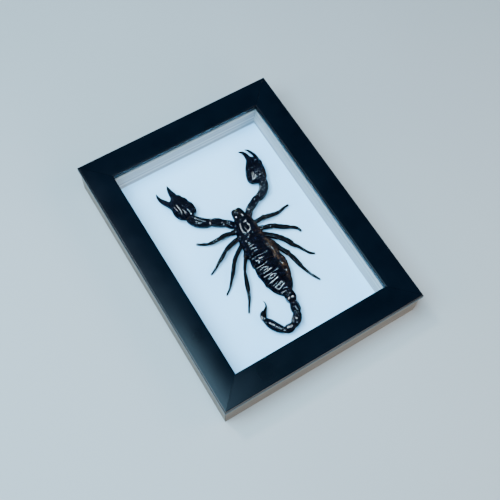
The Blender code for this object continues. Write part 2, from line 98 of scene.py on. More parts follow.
def add_world(colour, strength):
    world = bpy.data.worlds.new("studio")
    world.use_nodes = True
    background = world.node_tree.nodes["Background"]
    background.inputs["Color"].default_value = (*colour, 1.0)
    background.inputs["Strength"].default_value = strength
    bpy.context.scene.world = world


# Materials

class Shader:
    """A Principled material and short ways to add nodes to it."""

    def __init__(self, name, colour, roughness, **sockets):
        self.material = bpy.data.materials.new(name)
        self.material.use_nodes = True
        self.tree = self.material.node_tree
        self.main = self.tree.nodes["Principled BSDF"]
        self.main.inputs["Base Color"].default_value = (*colour, 1.0)
        self.main.inputs["Roughness"].default_value = roughness
        for key, value in sockets.items():
            self.main.inputs[key.replace("_", " ").title().replace("Ior", "IOR")].default_value = value
        self.place = self.node("TexCoord").outputs["Object"]

    def node(self, kind, **settings):
        made = self.tree.nodes.new("ShaderNode" + kind)
        for key, value in settings.items():
            setattr(made, key, value)
        return made

    def link(self, source, target):
        self.tree.links.new(source, target)

    def put(self, socket, value):
        """Link a socket to another, or set its number or colour."""
        if isinstance(value, bpy.types.NodeSocket):
            self.link(value, socket)
        else:
            socket.default_value = (*value, 1.0) if isinstance(value, tuple) else value

    def noise(self, scale, detail, rough=0.55, distortion=0.0):
        """Noise from 0 to 1; scale is a number or one for each axis, in waves per metre."""
        made = self.node("TexNoise")
        place = self.place
        if isinstance(scale, tuple):
            mapping = self.node("Mapping")
            mapping.inputs["Scale"].default_value = scale
            self.link(place, mapping.inputs["Vector"])
            place, scale = mapping.outputs["Vector"], 1.0
        for key, value in (("Scale", scale), ("Detail", detail), ("Roughness", rough),
                           ("Distortion", distortion), ("Vector", place)):
            self.put(made.inputs[key], value)
        return made.outputs["Fac"]

    def ramp(self, source, *stops):
        """A colour ramp with stops of (place, grey or colour)."""
        made = self.node("ValToRGB")
        points = made.color_ramp.elements
        while len(points) < len(stops):
            points.new(0.5)
        for point, (place, value) in zip(points, stops):
            point.position = place
            point.color = (*value, 1.0) if isinstance(value, tuple) else (value, value, value, 1.0)
        self.link(source, made.inputs["Fac"])
        return made.outputs["Color"]

    def fade(self, source, low, high):
        """The usual ramp, between two greys or colours."""
        return self.ramp(source, (0.3, low), (0.7, high))

    def mix(self, share, first, second, blend="MIX"):
        """Mix two colours or sockets; share is a number or a socket."""
        made = self.node("Mix", data_type="RGBA", blend_type=blend)
        for k, value in ((0, share), (6, first), (7, second)):
            self.put(made.inputs[k], value)
        return made.outputs[2]

    def math(self, operation, first, second):
        made = self.node("Math", operation=operation)
        self.put(made.inputs[0], first)
        self.put(made.inputs[1], second)
        return made.outputs[0]

    def colour(self, source):
        self.link(source, self.main.inputs["Base Color"])

    def roughness(self, source):
        self.link(source, self.main.inputs["Roughness"])

    def bump(self, *streaks):
        """Layers of (height socket, strength, distance in metres), one on top of the other."""
        below = None
        for height, strength, distance in streaks:
            made = self.node("Bump")
            for key, value in (("Strength", strength), ("Distance", distance), ("Height", height)):
                self.put(made.inputs[key], value)
            if below:
                self.link(below, made.inputs["Normal"])
            below = made.outputs["Normal"]
        self.link(below, self.main.inputs["Normal"])


def along(axis, length_scale, cross_scale):
    """Scales for a texture stretched along one axis."""
    return tuple(length_scale if i == "XYZ".index(axis) else cross_scale for i in range(3))


def black_paint(axis, painted_highlight_edge=False):
    """Satin black paint; worn is the moulding's outer arris, painted lighter as a painted highlight and given
    a stronger specular.
    """
    name = "black_satin_painted_highlight_edge_" if painted_highlight_edge else "black_satin_"
    s = Shader(name + axis, (0.003, 0.006, 0.011), 0.3, specular_ior_level=0.7 if painted_highlight_edge else 0.16)
    grain = s.noise(along(axis, 18.0, 900.0), 4.0, 0.6, 0.3)
    cloud = s.noise(35.0, 2.0)
    peel = s.noise(1400.0, 2.0)
    low, high = (0.0012, 0.0036, 0.0075), (0.0024, 0.0058, 0.0115)
    # The arris colour is lighter: a painted highlight along the outer edge.
    if painted_highlight_edge:
        low, high = (0.008, 0.011, 0.015), (0.018, 0.022, 0.027)
    s.colour(s.fade(cloud, low, high))
    uneven = s.math("ADD", s.math("MULTIPLY", grain, 0.4), s.math("MULTIPLY", cloud, 0.6))
    s.roughness(s.fade(uneven, 0.17, 0.24))
    s.bump((grain, 0.12, 0.0002), (peel, 0.05, 0.0001))
    return s.material


def pale_wood(axis):
    s = Shader("pale_wood_" + axis, (0.6, 0.5, 0.4), 0.6)
    bands = s.noise(along(axis, 7.0, 190.0), 5.0, 0.6, 0.8)
    fibre = s.noise(along(axis, 40.0, 2600.0), 3.0, 0.6)
    fleck = s.noise(along(axis, 120.0, 4200.0), 1.0)
    # Tones darker than the pale wood's own colour: painted shade on the box's sides, over its grain's bands.
    tone = s.ramp(bands, (0.32, (0.205, 0.148, 0.108)), (0.52, (0.275, 0.21, 0.16)),
                  (0.7, (0.325, 0.26, 0.205)))
    tone = s.mix(0.35, tone, s.ramp(fibre, (0.35, 0.55), (0.62, 1.0)), "MULTIPLY")
    s.colour(s.mix(s.ramp(fleck, (0.66, 0.0), (0.74, 0.55)), tone, (0.15, 0.092, 0.06)))
    s.roughness(s.fade(fibre, 0.7, 0.52))
    s.bump((fibre, 0.25, 0.00015), (bands, 0.1, 0.0003))
    return s.material


def white_card():
    s = Shader("white_card", (0.4, 0.71, 0.98), 0.72)
    fibre = s.noise(2600.0, 3.0, 0.65)
    cloud = s.noise(22.0, 2.0)
    tone = s.fade(cloud, (0.36, 0.67, 0.95), (0.4, 0.71, 0.98))
    s.colour(s.mix(0.12, tone, s.fade(fibre, 0.8, 1.0), "MULTIPLY"))
    s.roughness(s.fade(fibre, 0.64, 0.8))
    s.bump((fibre, 0.18, 0.00008), (cloud, 0.1, 0.0004))
    return s.material


def foam_board(axis):
    """The lining, in a grey darker than the card's as painted shade on its walls, with fine darker and
    lighter lines along each strip.
    """
    s = Shader("foam_board_" + axis, (0.33, 0.35, 0.37), 0.68)
    streaks = s.noise(along(axis, 2.5, 430.0), 4.0, 0.62, 0.2)
    fibre = s.noise(2600.0, 3.0, 0.65)
    # Greys darker than the card's: painted shade on the lining's walls.
    tone = s.ramp(streaks, (0.34, (0.2, 0.215, 0.225)), (0.46, (0.31, 0.33, 0.345)), (0.68, (0.5, 0.52, 0.53)))
    s.colour(s.mix(0.12, tone, s.fade(fibre, 0.8, 1.0), "MULTIPLY"))
    s.roughness(s.fade(fibre, 0.6, 0.76))
    s.bump((fibre, 0.18, 0.00008), (streaks, 0.3, 0.0002))
    return s.material


def hardboard():
    s = Shader("hardboard_brown", (0.28, 0.17, 0.1), 0.6)
    fleck = s.noise(900.0, 5.0, 0.7)
    cloud = s.noise(30.0, 3.0)
    tone = s.fade(cloud, (0.23, 0.135, 0.075), (0.33, 0.205, 0.12))
    s.colour(s.mix(0.6, tone, s.fade(fleck, 0.45, 1.0), "MULTIPLY"))
    s.roughness(s.ramp(fleck, (0.35, 0.72), (0.65, 0.48)))
    s.bump((fleck, 0.3, 0.0001))
    return s.material


def thin_steel():
    s = Shader("thin_steel", (0.56, 0.57, 0.58), 0.35, metallic=1.0)
    brush = s.noise((150.0, 4000.0, 4000.0), 3.0)
    spot = s.noise(420.0, 3.0)
    s.colour(s.fade(spot, (0.42, 0.42, 0.42), (0.64, 0.65, 0.66)))
    s.roughness(s.fade(brush, 0.28, 0.46))
    s.bump((brush, 0.1, 0.00005))
    return s.material


def brass():
    s = Shader("plated_brass", (0.72, 0.53, 0.25), 0.32, metallic=1.0)
    spot = s.noise(380.0, 3.0)
    s.colour(s.ramp(spot, (0.32, (0.42, 0.27, 0.12)), (0.5, (0.68, 0.5, 0.24)), (0.7, (0.78, 0.6, 0.32))))
    s.roughness(s.fade(spot, 0.5, 0.26))
    s.bump((s.noise(2500.0, 2.0), 0.08, 0.00005))
    return s.material


def clear_glass():
    """Glass that reflects little; a light's shadow ray goes through it as through a flat pane."""
    s = Shader("clear_glass_pane", (1.0, 1.0, 1.0), 0.0, transmission_weight=1.0, ior=1.14)
    output = s.tree.nodes["Material Output"]
    switch = s.node("MixShader")
    s.link(s.node("LightPath").outputs["Is Shadow Ray"], switch.inputs[0])
    s.link(s.main.outputs[0], switch.inputs[1])
    s.link(s.node("BsdfTransparent").outputs[0], switch.inputs[2])
    s.link(switch.outputs[0], output.inputs["Surface"])
    return s.material


def cuticle(name, roughness, specular, relief):
    """Dark cuticle; the tone attribute holds soft skin, leg brown and pale gold in its channels. The palest
    skin on the flank and part of the pale gold are painted highlights.
    """
    s = Shader(name, (0.003, 0.004, 0.006), roughness, specular_ior_level=specular)
    split = s.node("SeparateColor")
    s.link(s.node("Attribute", attribute_name="tone").outputs["Color"], split.inputs["Color"])
    skin, leg, gold = split.outputs
    cloud = s.noise(160.0, 4.0, 0.6)
    fine = s.noise(1500.0, 4.0, 0.6)
    base = s.ramp(cloud, (0.3, (0.0006, 0.001, 0.003)), (0.55, (0.0012, 0.0016, 0.0042)),
                  (0.75, (0.0024, 0.0024, 0.005)))
    limb = s.fade(fine, (0.0012, 0.0017, 0.0022), (0.004, 0.0038, 0.0032))
    soft = s.ramp(fine, (0.3, (0.006, 0.003, 0.0015)), (0.52, (0.04, 0.021, 0.012)),
                  (0.74, (0.17, 0.095, 0.05)))
    pale = s.fade(fine, (0.05, 0.042, 0.02), (0.3, 0.25, 0.12))
    tone = s.mix(leg, base, limb)
    tone = s.mix(skin, tone, soft)
    s.colour(s.mix(gold, tone, pale))
    s.roughness(s.math("ADD", s.fade(fine, roughness - 0.03, roughness + 0.05),
                       s.math("MULTIPLY", skin, 0.2)))
    s.bump((cloud, relief, 0.0003), (fine, relief * 1.6, 0.00012))
    return s.material


def crest_cuticle():
    """The rubbed crests of the folds, a little glossier than the rest."""
    s = Shader("scorpion_cuticle_crest", (0.004, 0.004, 0.006), 0.12, specular_ior_level=1.0)
    fine = s.noise(1500.0, 4.0, 0.6)
    s.colour(s.fade(fine, (0.002, 0.002, 0.004), (0.007, 0.006, 0.008)))
    s.roughness(s.fade(fine, 0.09, 0.17))
    s.bump((fine, 0.06, 0.00012))
    return s.material


def bristle():
    s = Shader("bristle_brown", (0.05, 0.03, 0.018), 0.4)
    s.colour(s.fade(s.noise(300.0, 2.0), (0.03, 0.018, 0.01), (0.1, 0.055, 0.03)))
    return s.material


def rail_profile():
    """Section of a black moulding in millimetres: x runs in from the outer edge, y up from its back."""
    edge, r = RAIL_THICK - RAIL_CROWN, RAIL_ARRIS

    def arc(x, start, stop):
        angles = np.radians(np.linspace(start, stop, 9))
        return [(x + r * math.cos(a), edge - r + r * math.sin(a)) for a in angles]

    points = [(0.15, 0.0), (RAIL_FACE - 0.15, 0.0), (RAIL_FACE, 0.15)]
    points += arc(RAIL_FACE - r, 0, 80)
    for share in np.linspace(0.0, 1.0, 33):
        x = RAIL_FACE - 1.2 * r - share * (RAIL_FACE - 2.4 * r)
        points.append((x, edge + RAIL_CROWN * (1 - (2 * share - 1) ** 2)))
    return points + arc(r, 100, 180) + [(0.0, 0.15)]


def front_rail(side, material, edge_material):
    """One mitred moulding with a smoothly rounded face."""
    turn = ("bottom", "right", "top", "left").index(side)
    length, width = FRAME_SIZE if turn % 2 == 0 else FRAME_SIZE[::-1]
    profile = rail_profile()
    shares = np.linspace(-1, 1, 25)
    points = [(share * (length / 2 - x - MITRE_GAP), x - width / 2, RAIL_BOTTOM + y)
              for share in shares for x, y in profile]
    n, faces = len(profile), []
    for row in range(len(shares) - 1):
        for k in range(n):
            a, b = row * n + k, row * n + (k + 1) % n
            faces.append((a, a + n, b + n, b))
    faces += [tuple(range(n)), tuple(reversed(range(n * (len(shares) - 1), n * len(shares))))]
    mesh = bpy.data.meshes.new("rail_" + side)
    mesh.from_pydata([Vector(p) * MM for p in points], [], faces)
    mesh.transform(Matrix.Rotation(math.radians(90 * turn), 4, "Z"))
    mesh.shade_smooth()
    mesh.set_sharp_from_angle(angle=math.radians(35))
    mesh.materials.append(material)
    mesh.materials.append(edge_material)
    # The outer arris takes the second material, whose lighter colour is a painted highlight.
    reach = 0.75 * RAIL_ARRIS
    edge = [k for k, (x, y) in enumerate(profile) if x < reach and y > RAIL_THICK - reach]
    for face in mesh.polygons:
        if len(face.vertices) == 4 and face.vertices[0] % n in edge and face.vertices[3] % n in edge:
            face.material_index = 1
    add_piece("rail_" + side, mesh, "front_rail_" + side)


def dress_frame():
    """Give every node of the frame its material, with the grain along each bar."""
    materials = {}

    def paint(node, key, make, *values):
        if key not in materials:
            materials[key] = make(*values)
        for slot in nodes_of_frame[node].material_slots:
            slot.material = materials[key]
        return materials[key]

    for side, axis in (("bottom", "X"), ("right", "Y"), ("top", "X"), ("left", "Y")):
        # The edge material paints a highlight along each moulding's outer arris.
        edge = paint("front_rail_" + side, "edge" + axis, black_paint, axis, True)
        front_rail(side, paint("front_rail_" + side, "paint" + axis, black_paint, axis), edge)
        paint("box_side_" + side, "wood" + axis, pale_wood, axis)
        paint("liner_" + side, "liner" + axis, foam_board, axis)
    paint("backing_board", "board", white_card)
    paint("back_panel", "panel", hardboard)
    paint("hanger_plate", "hanger", brass)
    paint("glass_pane", "glass", clear_glass)
    for number in range(1, 7):
        paint("retaining_tab_%d" % number, "tab", thin_steel)


# Surfaces from grids of points

def cell_distance(points, size, seed):
    """Distance from each point to the nearest of one jittered centre a cell: 0 at a centre."""
    q = points / size
    base = np.floor(q).astype(np.int64)
    best = np.full(len(q), 9.0)
    for offset in itertools.product((-1, 0, 1), repeat=3):
        cell = base + offset
        jitter = np.stack([lattice_value(cell, seed + k) for k in range(3)], 1)
        best = np.minimum(best, np.linalg.norm(cell + 0.15 + 0.7 * jitter - q, axis=1))
    return best


def lattice_value(cell, seed):
    """A fixed value from 0 to 1 for each whole-numbered cell."""
    h = (cell[:, 0] * 73856093) ^ (cell[:, 1] * 19349663) ^ (cell[:, 2] * 83492791) ^ (seed * 2654435)
    h = (h ^ (h >> 13)) * 1274126177
    return ((h ^ (h >> 16)) & 0xFFFF) / 65535.0


def soft_noise(points, size, seed):
    """Smooth noise from -1 to 1 with lumps about this size."""
    q = points / size
    base = np.floor(q).astype(np.int64)
    f = q - base
    f = f * f * (3 - 2 * f)
    total = np.zeros(len(q))
    for offset in itertools.product((0, 1), repeat=3):
        weight = np.prod(np.where(np.array(offset), f, 1 - f), axis=1)
        total += weight * lattice_value(base + offset, seed)
    return total * 2 - 1


def smooth_step(low, high, x):
    t = np.clip((x - low) / (high - low), 0, 1)
    return t * t * (3 - 2 * t)


def bump_at(x, centre, width):
    return np.exp(-((x - centre) / width) ** 2)


def travelled(points):
    """Length of the line up to each of its points."""
    return np.concatenate([[0], np.cumsum(np.linalg.norm(np.diff(points, axis=0), axis=1))])


def unit(v):
    """Vectors scaled to length 1."""
    return v / np.maximum(np.linalg.norm(v, axis=-1, keepdims=True), 1e-6)


def hermite(p, slope, i, h, t):
    """Smooth values between the rows i and i + 1, at the share t of their distance h."""
    return ((2 * t**3 - 3 * t**2 + 1) * p[i] + (t**3 - 2 * t**2 + t) * h * slope[i]
            + (3 * t**2 - 2 * t**3) * p[i + 1] + (t**3 - t**2) * h * slope[i + 1])


def spline(points, count):
    """Evenly spaced points on a smooth line through the given rows of x, y, z and radius."""
    p = np.asarray(points, float)
    step = np.linalg.norm(np.diff(p[:, :3], axis=0), axis=1)
    at = np.concatenate([[0], np.cumsum(step)])
    slope = np.zeros_like(p)
    secant = np.diff(p, axis=0) / step[:, None]
    slope[0], slope[-1] = secant[0], secant[-1]
    w = step[:, None]
    slope[1:-1] = (secant[:-1] * w[1:] + secant[1:] * w[:-1]) / (w[1:] + w[:-1])
    s = np.linspace(0, at[-1], count)
    i = np.clip(np.searchsorted(at, s, side="right") - 1, 0, len(step) - 1)
    return hermite(p, slope, i, step[i][:, None], ((s - at[i]) / step[i])[:, None])


def interpolate(stations, at, column):
    """A smooth value between stations whose first column is the rising place."""
    p = np.asarray(stations, float)
    x, y = p[:, 0], p[:, column]
    i = np.clip(np.searchsorted(x, at, side="right") - 1, 0, len(x) - 2)
    h = x[i + 1] - x[i]
    return hermite(y, np.gradient(y, x), i, h, np.clip((at - x[i]) / h, 0, 1))


# Kinds of face, and the channels of the tone attribute
DULL, CREST = 1, 2
SKIN, BROWN, GOLD = 0, 1, 2
# Slope beside a crest, spacing of the points along it, and how far it reaches
FOLD_SLOPE = 0.65
CREST_SPACING = 0.22
CREST_REACH = 2.6
# Width that the crest's material adds to it, and the fewest points of a form that a crest needs
CREST_RIM = 0.06
FEWEST_POINTS = 12
# Length of the steps that long crests on arms, hands and tail are cut into
CREST_DASH = 1.5


def lean(x, y):
    """Height of the shallow bowl whose slope all crests share, in millimetres."""
    return 0.28 * x + 0.0007 * x**2 - 0.034 * y + 0.0006 * y**2


class Grid:
    """Rings of points round a middle line, as arrays, with what is needed to shape them."""

    def __init__(self, centre, across, up, width, rise, drop, squareness, sides, roof=0.0):
        def outline(theta):
            c, s = np.cos(theta), np.sin(theta)
            power = 2 / squareness
            return np.sign(c) * np.abs(c) ** power, np.sign(s) * np.abs(s) ** power

        dense = np.linspace(0, 2 * np.pi, 2001)
        x, z = outline(dense)
        z = z * float(np.mean(rise) / max(np.mean(width), 1e-6))
        length = np.concatenate([[0], np.cumsum(np.hypot(np.diff(x), np.diff(z)))])
        theta = np.interp((np.arange(sides) + 0.5) / sides * length[-1], length, dense)
        unit_x, unit_z = outline(theta)
        count = len(centre)
        across, up = (np.broadcast_to(v, (count, 3)) for v in (across, up))
        width, rise, drop = (np.broadcast_to(v, (count,))[:, None] for v in (width, rise, drop))
        x = unit_x[None] * width
        slant = 1 - roof * (np.sqrt(unit_x**2 + 0.004) - 0.063)
        z = unit_z[None] * np.where(np.sin(theta)[None] > 0, rise * slant[None], drop)
        self.offset = across[:, None] * x[..., None] + up[:, None] * z[..., None]
        self.centre = np.asarray(centre, float)
        length = np.linalg.norm(self.offset, axis=2)
        self.out = self.offset / np.maximum(length, 1e-6)[..., None]
        self.u = np.linspace(0, 1, count)[:, None] + 0 * theta[None]
        self.angle = theta[None] + 0 * self.u
        self.tone = np.zeros((count, sides, 3))
        self.kind = np.zeros((count, sides), int)

    @property
    def points(self):
        return self.centre[:, None] + self.offset

    def settle(self):
        """Keep the present points as the base that folds and grains lie on; returns its x and y."""
        self.base = self.points
        return self.base[..., 0], self.base[..., 1]

    def raise_by(self, amount):
        """Push the surface outward by an amount in millimetres for each point."""
        self.offset = self.offset + self.out * amount[..., None]
        return self

    def noise(self, size, seed):
        """Smooth noise from -1 to 1 at each point."""
        return soft_noise(self.points.reshape(-1, 3), size, seed).reshape(self.u.shape)

    def beside(self, degrees):
        """The angle from a line along the form, at an angle round it."""
        return np.angle(np.exp(1j * (self.angle - math.radians(degrees))))

    def keel(self, degrees, height, width, start=0.05, end=0.95, *, teeth, pitch):
        """A toothed ridge along the form, at an angle round it."""
        ends = smooth_step(start, start + 0.12, self.u) * (1 - smooth_step(end - 0.12, end, self.u))
        crest = 1 - teeth * (0.5 + 0.5 * np.cos(self.u * 2 * np.pi * pitch))
        return self.raise_by(height * crest * ends * bump_at(self.beside(degrees), 0, width))

    def normals(self):
        points = self.points
        round_ = np.roll(points, -1, axis=1) - np.roll(points, 1, axis=1)
        normal = np.cross(round_, np.gradient(points, axis=0))
        normal /= np.maximum(np.linalg.norm(normal, axis=2, keepdims=True), 1e-9)
        return normal * np.sign((normal * self.out).sum(axis=2))[..., None]

    def dust(self, flat, cover=1.0, seed=0):
        """Fine dust dulls what faces up; cover is the share of it that is dulled."""
        normal = self.normals()
        dull = normal[..., 2] > flat
        if cover < 1.0:
            dull &= self.noise(1.1, seed) < 2.2 * cover - 1.1
        self.kind = np.where(dull, DULL, self.kind)
        return self

    def folds(self, ridges, middle=None, lift=0.25, depth=0.0, plane=0.8, dash=0.0):
        """Raise narrow crests that lean like a low roof over the base.

        Each ridge is a half width and points of x and y. Crests right of the middle stand a little higher.
        Depth sinks the surface beside them along the back, and dash cuts long crests into steps.
        """
        x, y, ground = np.moveaxis(self.base, -1, 0)
        upper = self.out[..., 2] > 0.2
        best = np.full(x.shape, -1e3)
        crest = np.zeros(x.shape, bool)
        for width, *line in ridges:
            line = np.array(line)
            reach = width + CREST_REACH
            low, high = line.min(axis=0) - reach, line.max(axis=0) + reach
            near = upper & (x > low[0]) & (x < high[0]) & (y > low[1]) & (y < high[1])
            if near.sum() < FEWEST_POINTS:
                continue
            at = travelled(line)
            places = np.linspace(0, at[-1], max(2, int(at[-1] / CREST_SPACING) + 1))
            sx, sy = (np.interp(places, at, line[:, k]) for k in (0, 1))
            px, py = x[near], y[near]
            gap = np.hypot(px[:, None] - sx[None], py[:, None] - sy[None])
            closest = gap.argmin(axis=0)
            sz = ground[near][closest] + lift
            if middle is not None:
                sz = sz + 0.4 * np.maximum(sx - middle, 0)
            tilt = lean(sx, sy)
            steps = max(1, round(at[-1] / dash)) if dash else 1
            for step in np.array_split(np.arange(len(sz)), steps):
                mean, leaning = sz[step].mean(), tilt[step] - tilt[step].mean()
                sz[step] = mean + (1 - plane) * (sz[step] - mean) + plane * leaning
            if steps == 1 and len(sz) > 4:
                sz = np.convolve(np.pad(sz, 2, "edge"), np.ones(5) / 5, "valid")
            k, d = gap.argmin(axis=1), gap.min(axis=1)
            height = sz[k] + lean(px, py) - tilt[k] - FOLD_SLOPE * np.maximum(d - width, 0)
            crest[near] = np.where(height > best[near], d < width + CREST_RIM, crest[near])
            best[near] = np.maximum(height, best[near])
        z = self.points[..., 2]
        level = np.maximum(best, z - depth * column(x))
        self.offset[..., 2] += np.where(upper, level - z, 0.0)
        crest &= upper & (best >= level - 1e-6)
        self.kind = np.where(crest, CREST, self.kind)
        return self

    def grains(self, count, seed, size=0.13, lift=0.12):
        """Scattered single grains that catch the light."""
        random = np.random.RandomState(seed)
        rows, columns = np.nonzero(self.normals()[..., 2] > 0.8)
        ridges = []
        for k in random.randint(0, len(rows), count):
            x, y = self.base[rows[k], columns[k], :2]
            ridges.append((size * (0.6 + 0.9 * random.rand()), (x, y), (x + 0.12, y - 0.02)))
        return self.folds(ridges, lift=lift, plane=1.0)

    def granules(self, size, height, cover, seed):
        bumps = np.clip(1 - cell_distance(self.points.reshape(-1, 3), size, seed) * 2.2, 0, 1) ** 0.8
        spread = smooth_step(-0.4, 0.4, self.noise(size * 4, seed + 9)) * cover
        return self.raise_by(bumps.reshape(self.u.shape) * spread * height)

    def lumps(self, size, height, seed):
        return self.raise_by(self.noise(size, seed) * height)


class Builder:
    """Collects grids of points into one mesh."""

    def __init__(self):
        self.points, self.faces, self.tones, self.kinds, self.count = [], [], [], [], 0

    def grid(self, grid):
        points = grid.points
        rings, sides = grid.u.shape
        index = self.count + np.arange(rings * sides).reshape(rings, sides)
        right = np.roll(index, -1, axis=1)
        quads = np.stack([index[:-1], index[1:], right[1:], right[:-1]], -1).reshape(-1, 4)
        self.points.append(points.reshape(-1, 3))
        self.tones.append(grid.tone.reshape(-1, 3))
        self.faces += quads.tolist()
        corners = np.stack([grid.kind[:-1], grid.kind[1:]])
        corners = np.concatenate([corners, np.roll(corners, -1, axis=2)])
        self.kinds.append(np.where((corners == corners[0]).all(axis=0), corners[0],
                                   np.where((corners == CREST).sum(axis=0) > 1, CREST, corners[0])).ravel())
        self.count += rings * sides
        for ring, row, back in ((points[0], index[0], True), (points[-1], index[-1], False)):
            self.points.append(ring.mean(axis=0, keepdims=True))
            self.tones.append(grid.tone[0 if back else -1].mean(axis=0, keepdims=True))
            middle = self.count
            self.count += 1
            for a, b in zip(row.tolist(), np.roll(row, -1).tolist()):
                self.faces.append((middle, a, b) if back else (middle, b, a))
            self.kinds.append(np.zeros(len(row), int))

    def build(self, name, *materials):
        mesh = bpy.data.meshes.new(name)
        mesh.from_pydata((np.concatenate(self.points) * MM).tolist(), [], self.faces)
        layer = mesh.color_attributes.new("tone", "FLOAT_COLOR", "POINT")
        rgba = np.ones((self.count, 4))
        rgba[:, :3] = np.clip(np.concatenate(self.tones), 0, 1)
        layer.data.foreach_set("color", rgba.ravel())
        for material in materials:
            mesh.materials.append(material)
        if len(materials) > 1:
            mesh.polygons.foreach_set("material_index", np.concatenate(self.kinds).astype(np.int32))
        mesh.validate()
        mesh.shade_smooth()
        add_piece(name, mesh, "scorpion")


# The animal's middle lines and sections, in millimetres

UP = np.array((0.0, 0.0, 1.0))
RIGHT = np.array((1.0, 0.0, 0.0))

# y, left edge, right edge, top
CARAPACE = (
    (0.4, -4.2, 15.1, 14.1), (1, -4.2, 15.1, 14.2), (6, -3.3, 14.9, 14.4), (12, -1.8, 14.5, 14.2),
    (17, -0.2, 13.6, 13.2), (18.6, 1.6, 12.2, 12), (19.2, 3.4, 10.6, 10.6),
)
# y of the front and rear edge, then the left edge, right edge and top at the rear edge
TERGITES = (
    (1, -2.4, -4.4, 14.8, 14.5), (-2.4, -7.2, -4.8, 14.2, 14.8), (-7.2, -13.6, -5.2, 13.6, 15.1),
    (-13.6, -21.8, -6, 13.2, 15.3), (-21.8, -29.8, -6.4, 13.4, 15.2), (-29.8, -38.4, -5.6, 14.2, 14.8),
)
TERGITE_STEP = 0.45
LAST_TERGITE = (
    (-49.8, 1.6, 8.7, 12.4), (-49.6, 1.3, 9, 12.6), (-47.4, -0.9, 11.2, 13.2), (-44, -3.2, 13.3, 13.8),
    (-40.5, -4.5, 14.3, 14.4), (-38.6, -5.2, 13.8, 14.35),
)
# Crests on the carapace and on the plates behind it: half width, then points of x and y
RIDGES = (
    (0.4, (3.1, 13.2), (2.6, 11.2), (2.1, 9.2), (1.8, 7.2), (1.8, 5.9), (2.9, 4.3)),
    (0.46, (7.3, 10.1), (7.9, 8.8), (8.1, 7.4), (7, 4.7), (4.3, 4.1)), (0.4, (6.2, 12), (8.3, 12.8)),
    (0.2, (8.3, 12.8), (7.4, 10.7)), (0.2, (5, 9.5), (4.5, 6.9), (5, 5.3)),
    (0.25, (4.2, 3.9), (4.1, 1.4), (2.4, 0.1), (1.4, -0.6), (-0.3, -1.5)), (0.12, (0, -3.4), (2, -3.4)),
    (0.2, (-0.8, -4.9), (2.1, -5.2)), (0.2, (-0.8, -6.7), (2.6, -7.02)), (0.24, (-1.2, -8.7), (3.3, -9.5)),
    (0.22, (0.3, -11.2), (3.2, -11.5)), (0.26, (-1, -12), (-0.9, -12.2)), (0.36, (-2.2, -13.2), (-2, -13.3)),
    (0.16, (-4.7, -15.6), (-1.2, -15.8)), (0.14, (-0.5, -15.8), (4, -16.3), (8.4, -16.8)),
    (0.38, (-0.1, -18.3), (3.2, -18.6)), (0.42, (-2.5, -18.5), (-0.4, -20.1), (-1.9, -21.2)),
    (0.2, (1.6, -20.5), (1.8, -20.6)), (0.24, (-5, -23.5), (1.4, -23.8), (3.6, -23.1)),
    (0.32, (-3.1, -26), (-1.2, -25.3), (2.4, -26.3)), (0.3, (-2.1, -27.8), (2.4, -27.6)),
    (0.4, (-2.5, -29.3), (4.1, -29.4)), (0.24, (-4.2, -32), (2.2, -32.1)), (0.12, (2.2, -32.1), (8.4, -32)),
    (0.3, (-2.3, -34.5), (-0.2, -35.6), (2.5, -35.4), (4.5, -34.3)),
    (0.24, (-2.3, -34.5), (0.5, -33.4), (3, -33.4), (4.5, -34.3)), (0.5, (-2.3, -38.1), (4.3, -37.3)),
    (0.2, (-2, -40.9), (2.8, -40.1)),
    (0.34, (-0.9, -42.5), (5, -41.2), (5.9, -43.1), (0.2, -45.4), (-0.9, -42.5)),
    (0.24, (2.2, -42.2), (3, -44.2)), (0.28, (1.3, -46.3), (0.8, -48.2), (4.4, -48.4)),
    (0.24, (2.9, -45.8), (6, -46.8)),
)
# The same on the other parts
HEAD_RIDGES = (
    (0.4, (4.6, 23), (4.7, 22.9)), (0.55, (3.4, 18.9), (3.6, 18.7)), (0.36, (8.3, 19.2), (8.5, 17.2)),
    (0.3, (5.6, 21.4), (6.1, 21.8)), (0.25, (6.6, 24.2), (7.6, 24.2)),
)
HAND_RIDGES = {
    "left": (
        (0.28, (-31.3, 48.6), (-31, 44.4)), (0.36, (-29.2, 48.9), (-29, 43.7), (-29.3, 40.9)),
        (0.26, (-27.2, 43.5), (-27.3, 42.7)), (0.42, (-26.8, 41.6), (-27, 40)),
        (0.36, (-24, 42), (-23.3, 37.9)),
    ),
    "right": (
        (0.3, (32.4, 44.2), (31.8, 41.9), (30.9, 39.6)), (0.3, (33.5, 44), (32.9, 41.6), (32, 39.4)),
        (0.26, (34.5, 42), (34, 40.8), (33.1, 39.2)), (0.35, (37.4, 43.2), (37.5, 43.1)),
        (0.4, (37.2, 40.3), (37.3, 40.2)), (0.4, (34.6, 40), (34.7, 39.9)),
        (0.35, (39.4, 40.6), (39.5, 40.5)), (0.3, (38.8, 38.2), (38.9, 38.1)),
        (0.3, (36, 38.4), (36.1, 38.3)),
    ),
}
ARM_RIDGES = {
    "left": (
        (0.24, (-22.8, 33.8), (-21.6, 31.9), (-17.6, 27.6)),
        (0.14, (-24.6, 32), (-22.1, 29.6), (-20.2, 27.6)), (0.1, (-24.3, 30.2), (-22.2, 28)),
        (0.3, (-14.9, 25.6), (-15.8, 24)), (0.26, (-6, 19.9), (-6.9, 18.8)),
    ),
    "right": (
        (0.4, (15.4, 20.2), (15.5, 20.1)), (0.35, (14.4, 18.5), (14.5, 18.4)), (0.25, (22, 24.4), (24, 25.4)),
        (0.25, (30.5, 29.6), (32.4, 32)), (0.3, (35.4, 34.4), (35.5, 34.5)),
    ),
}
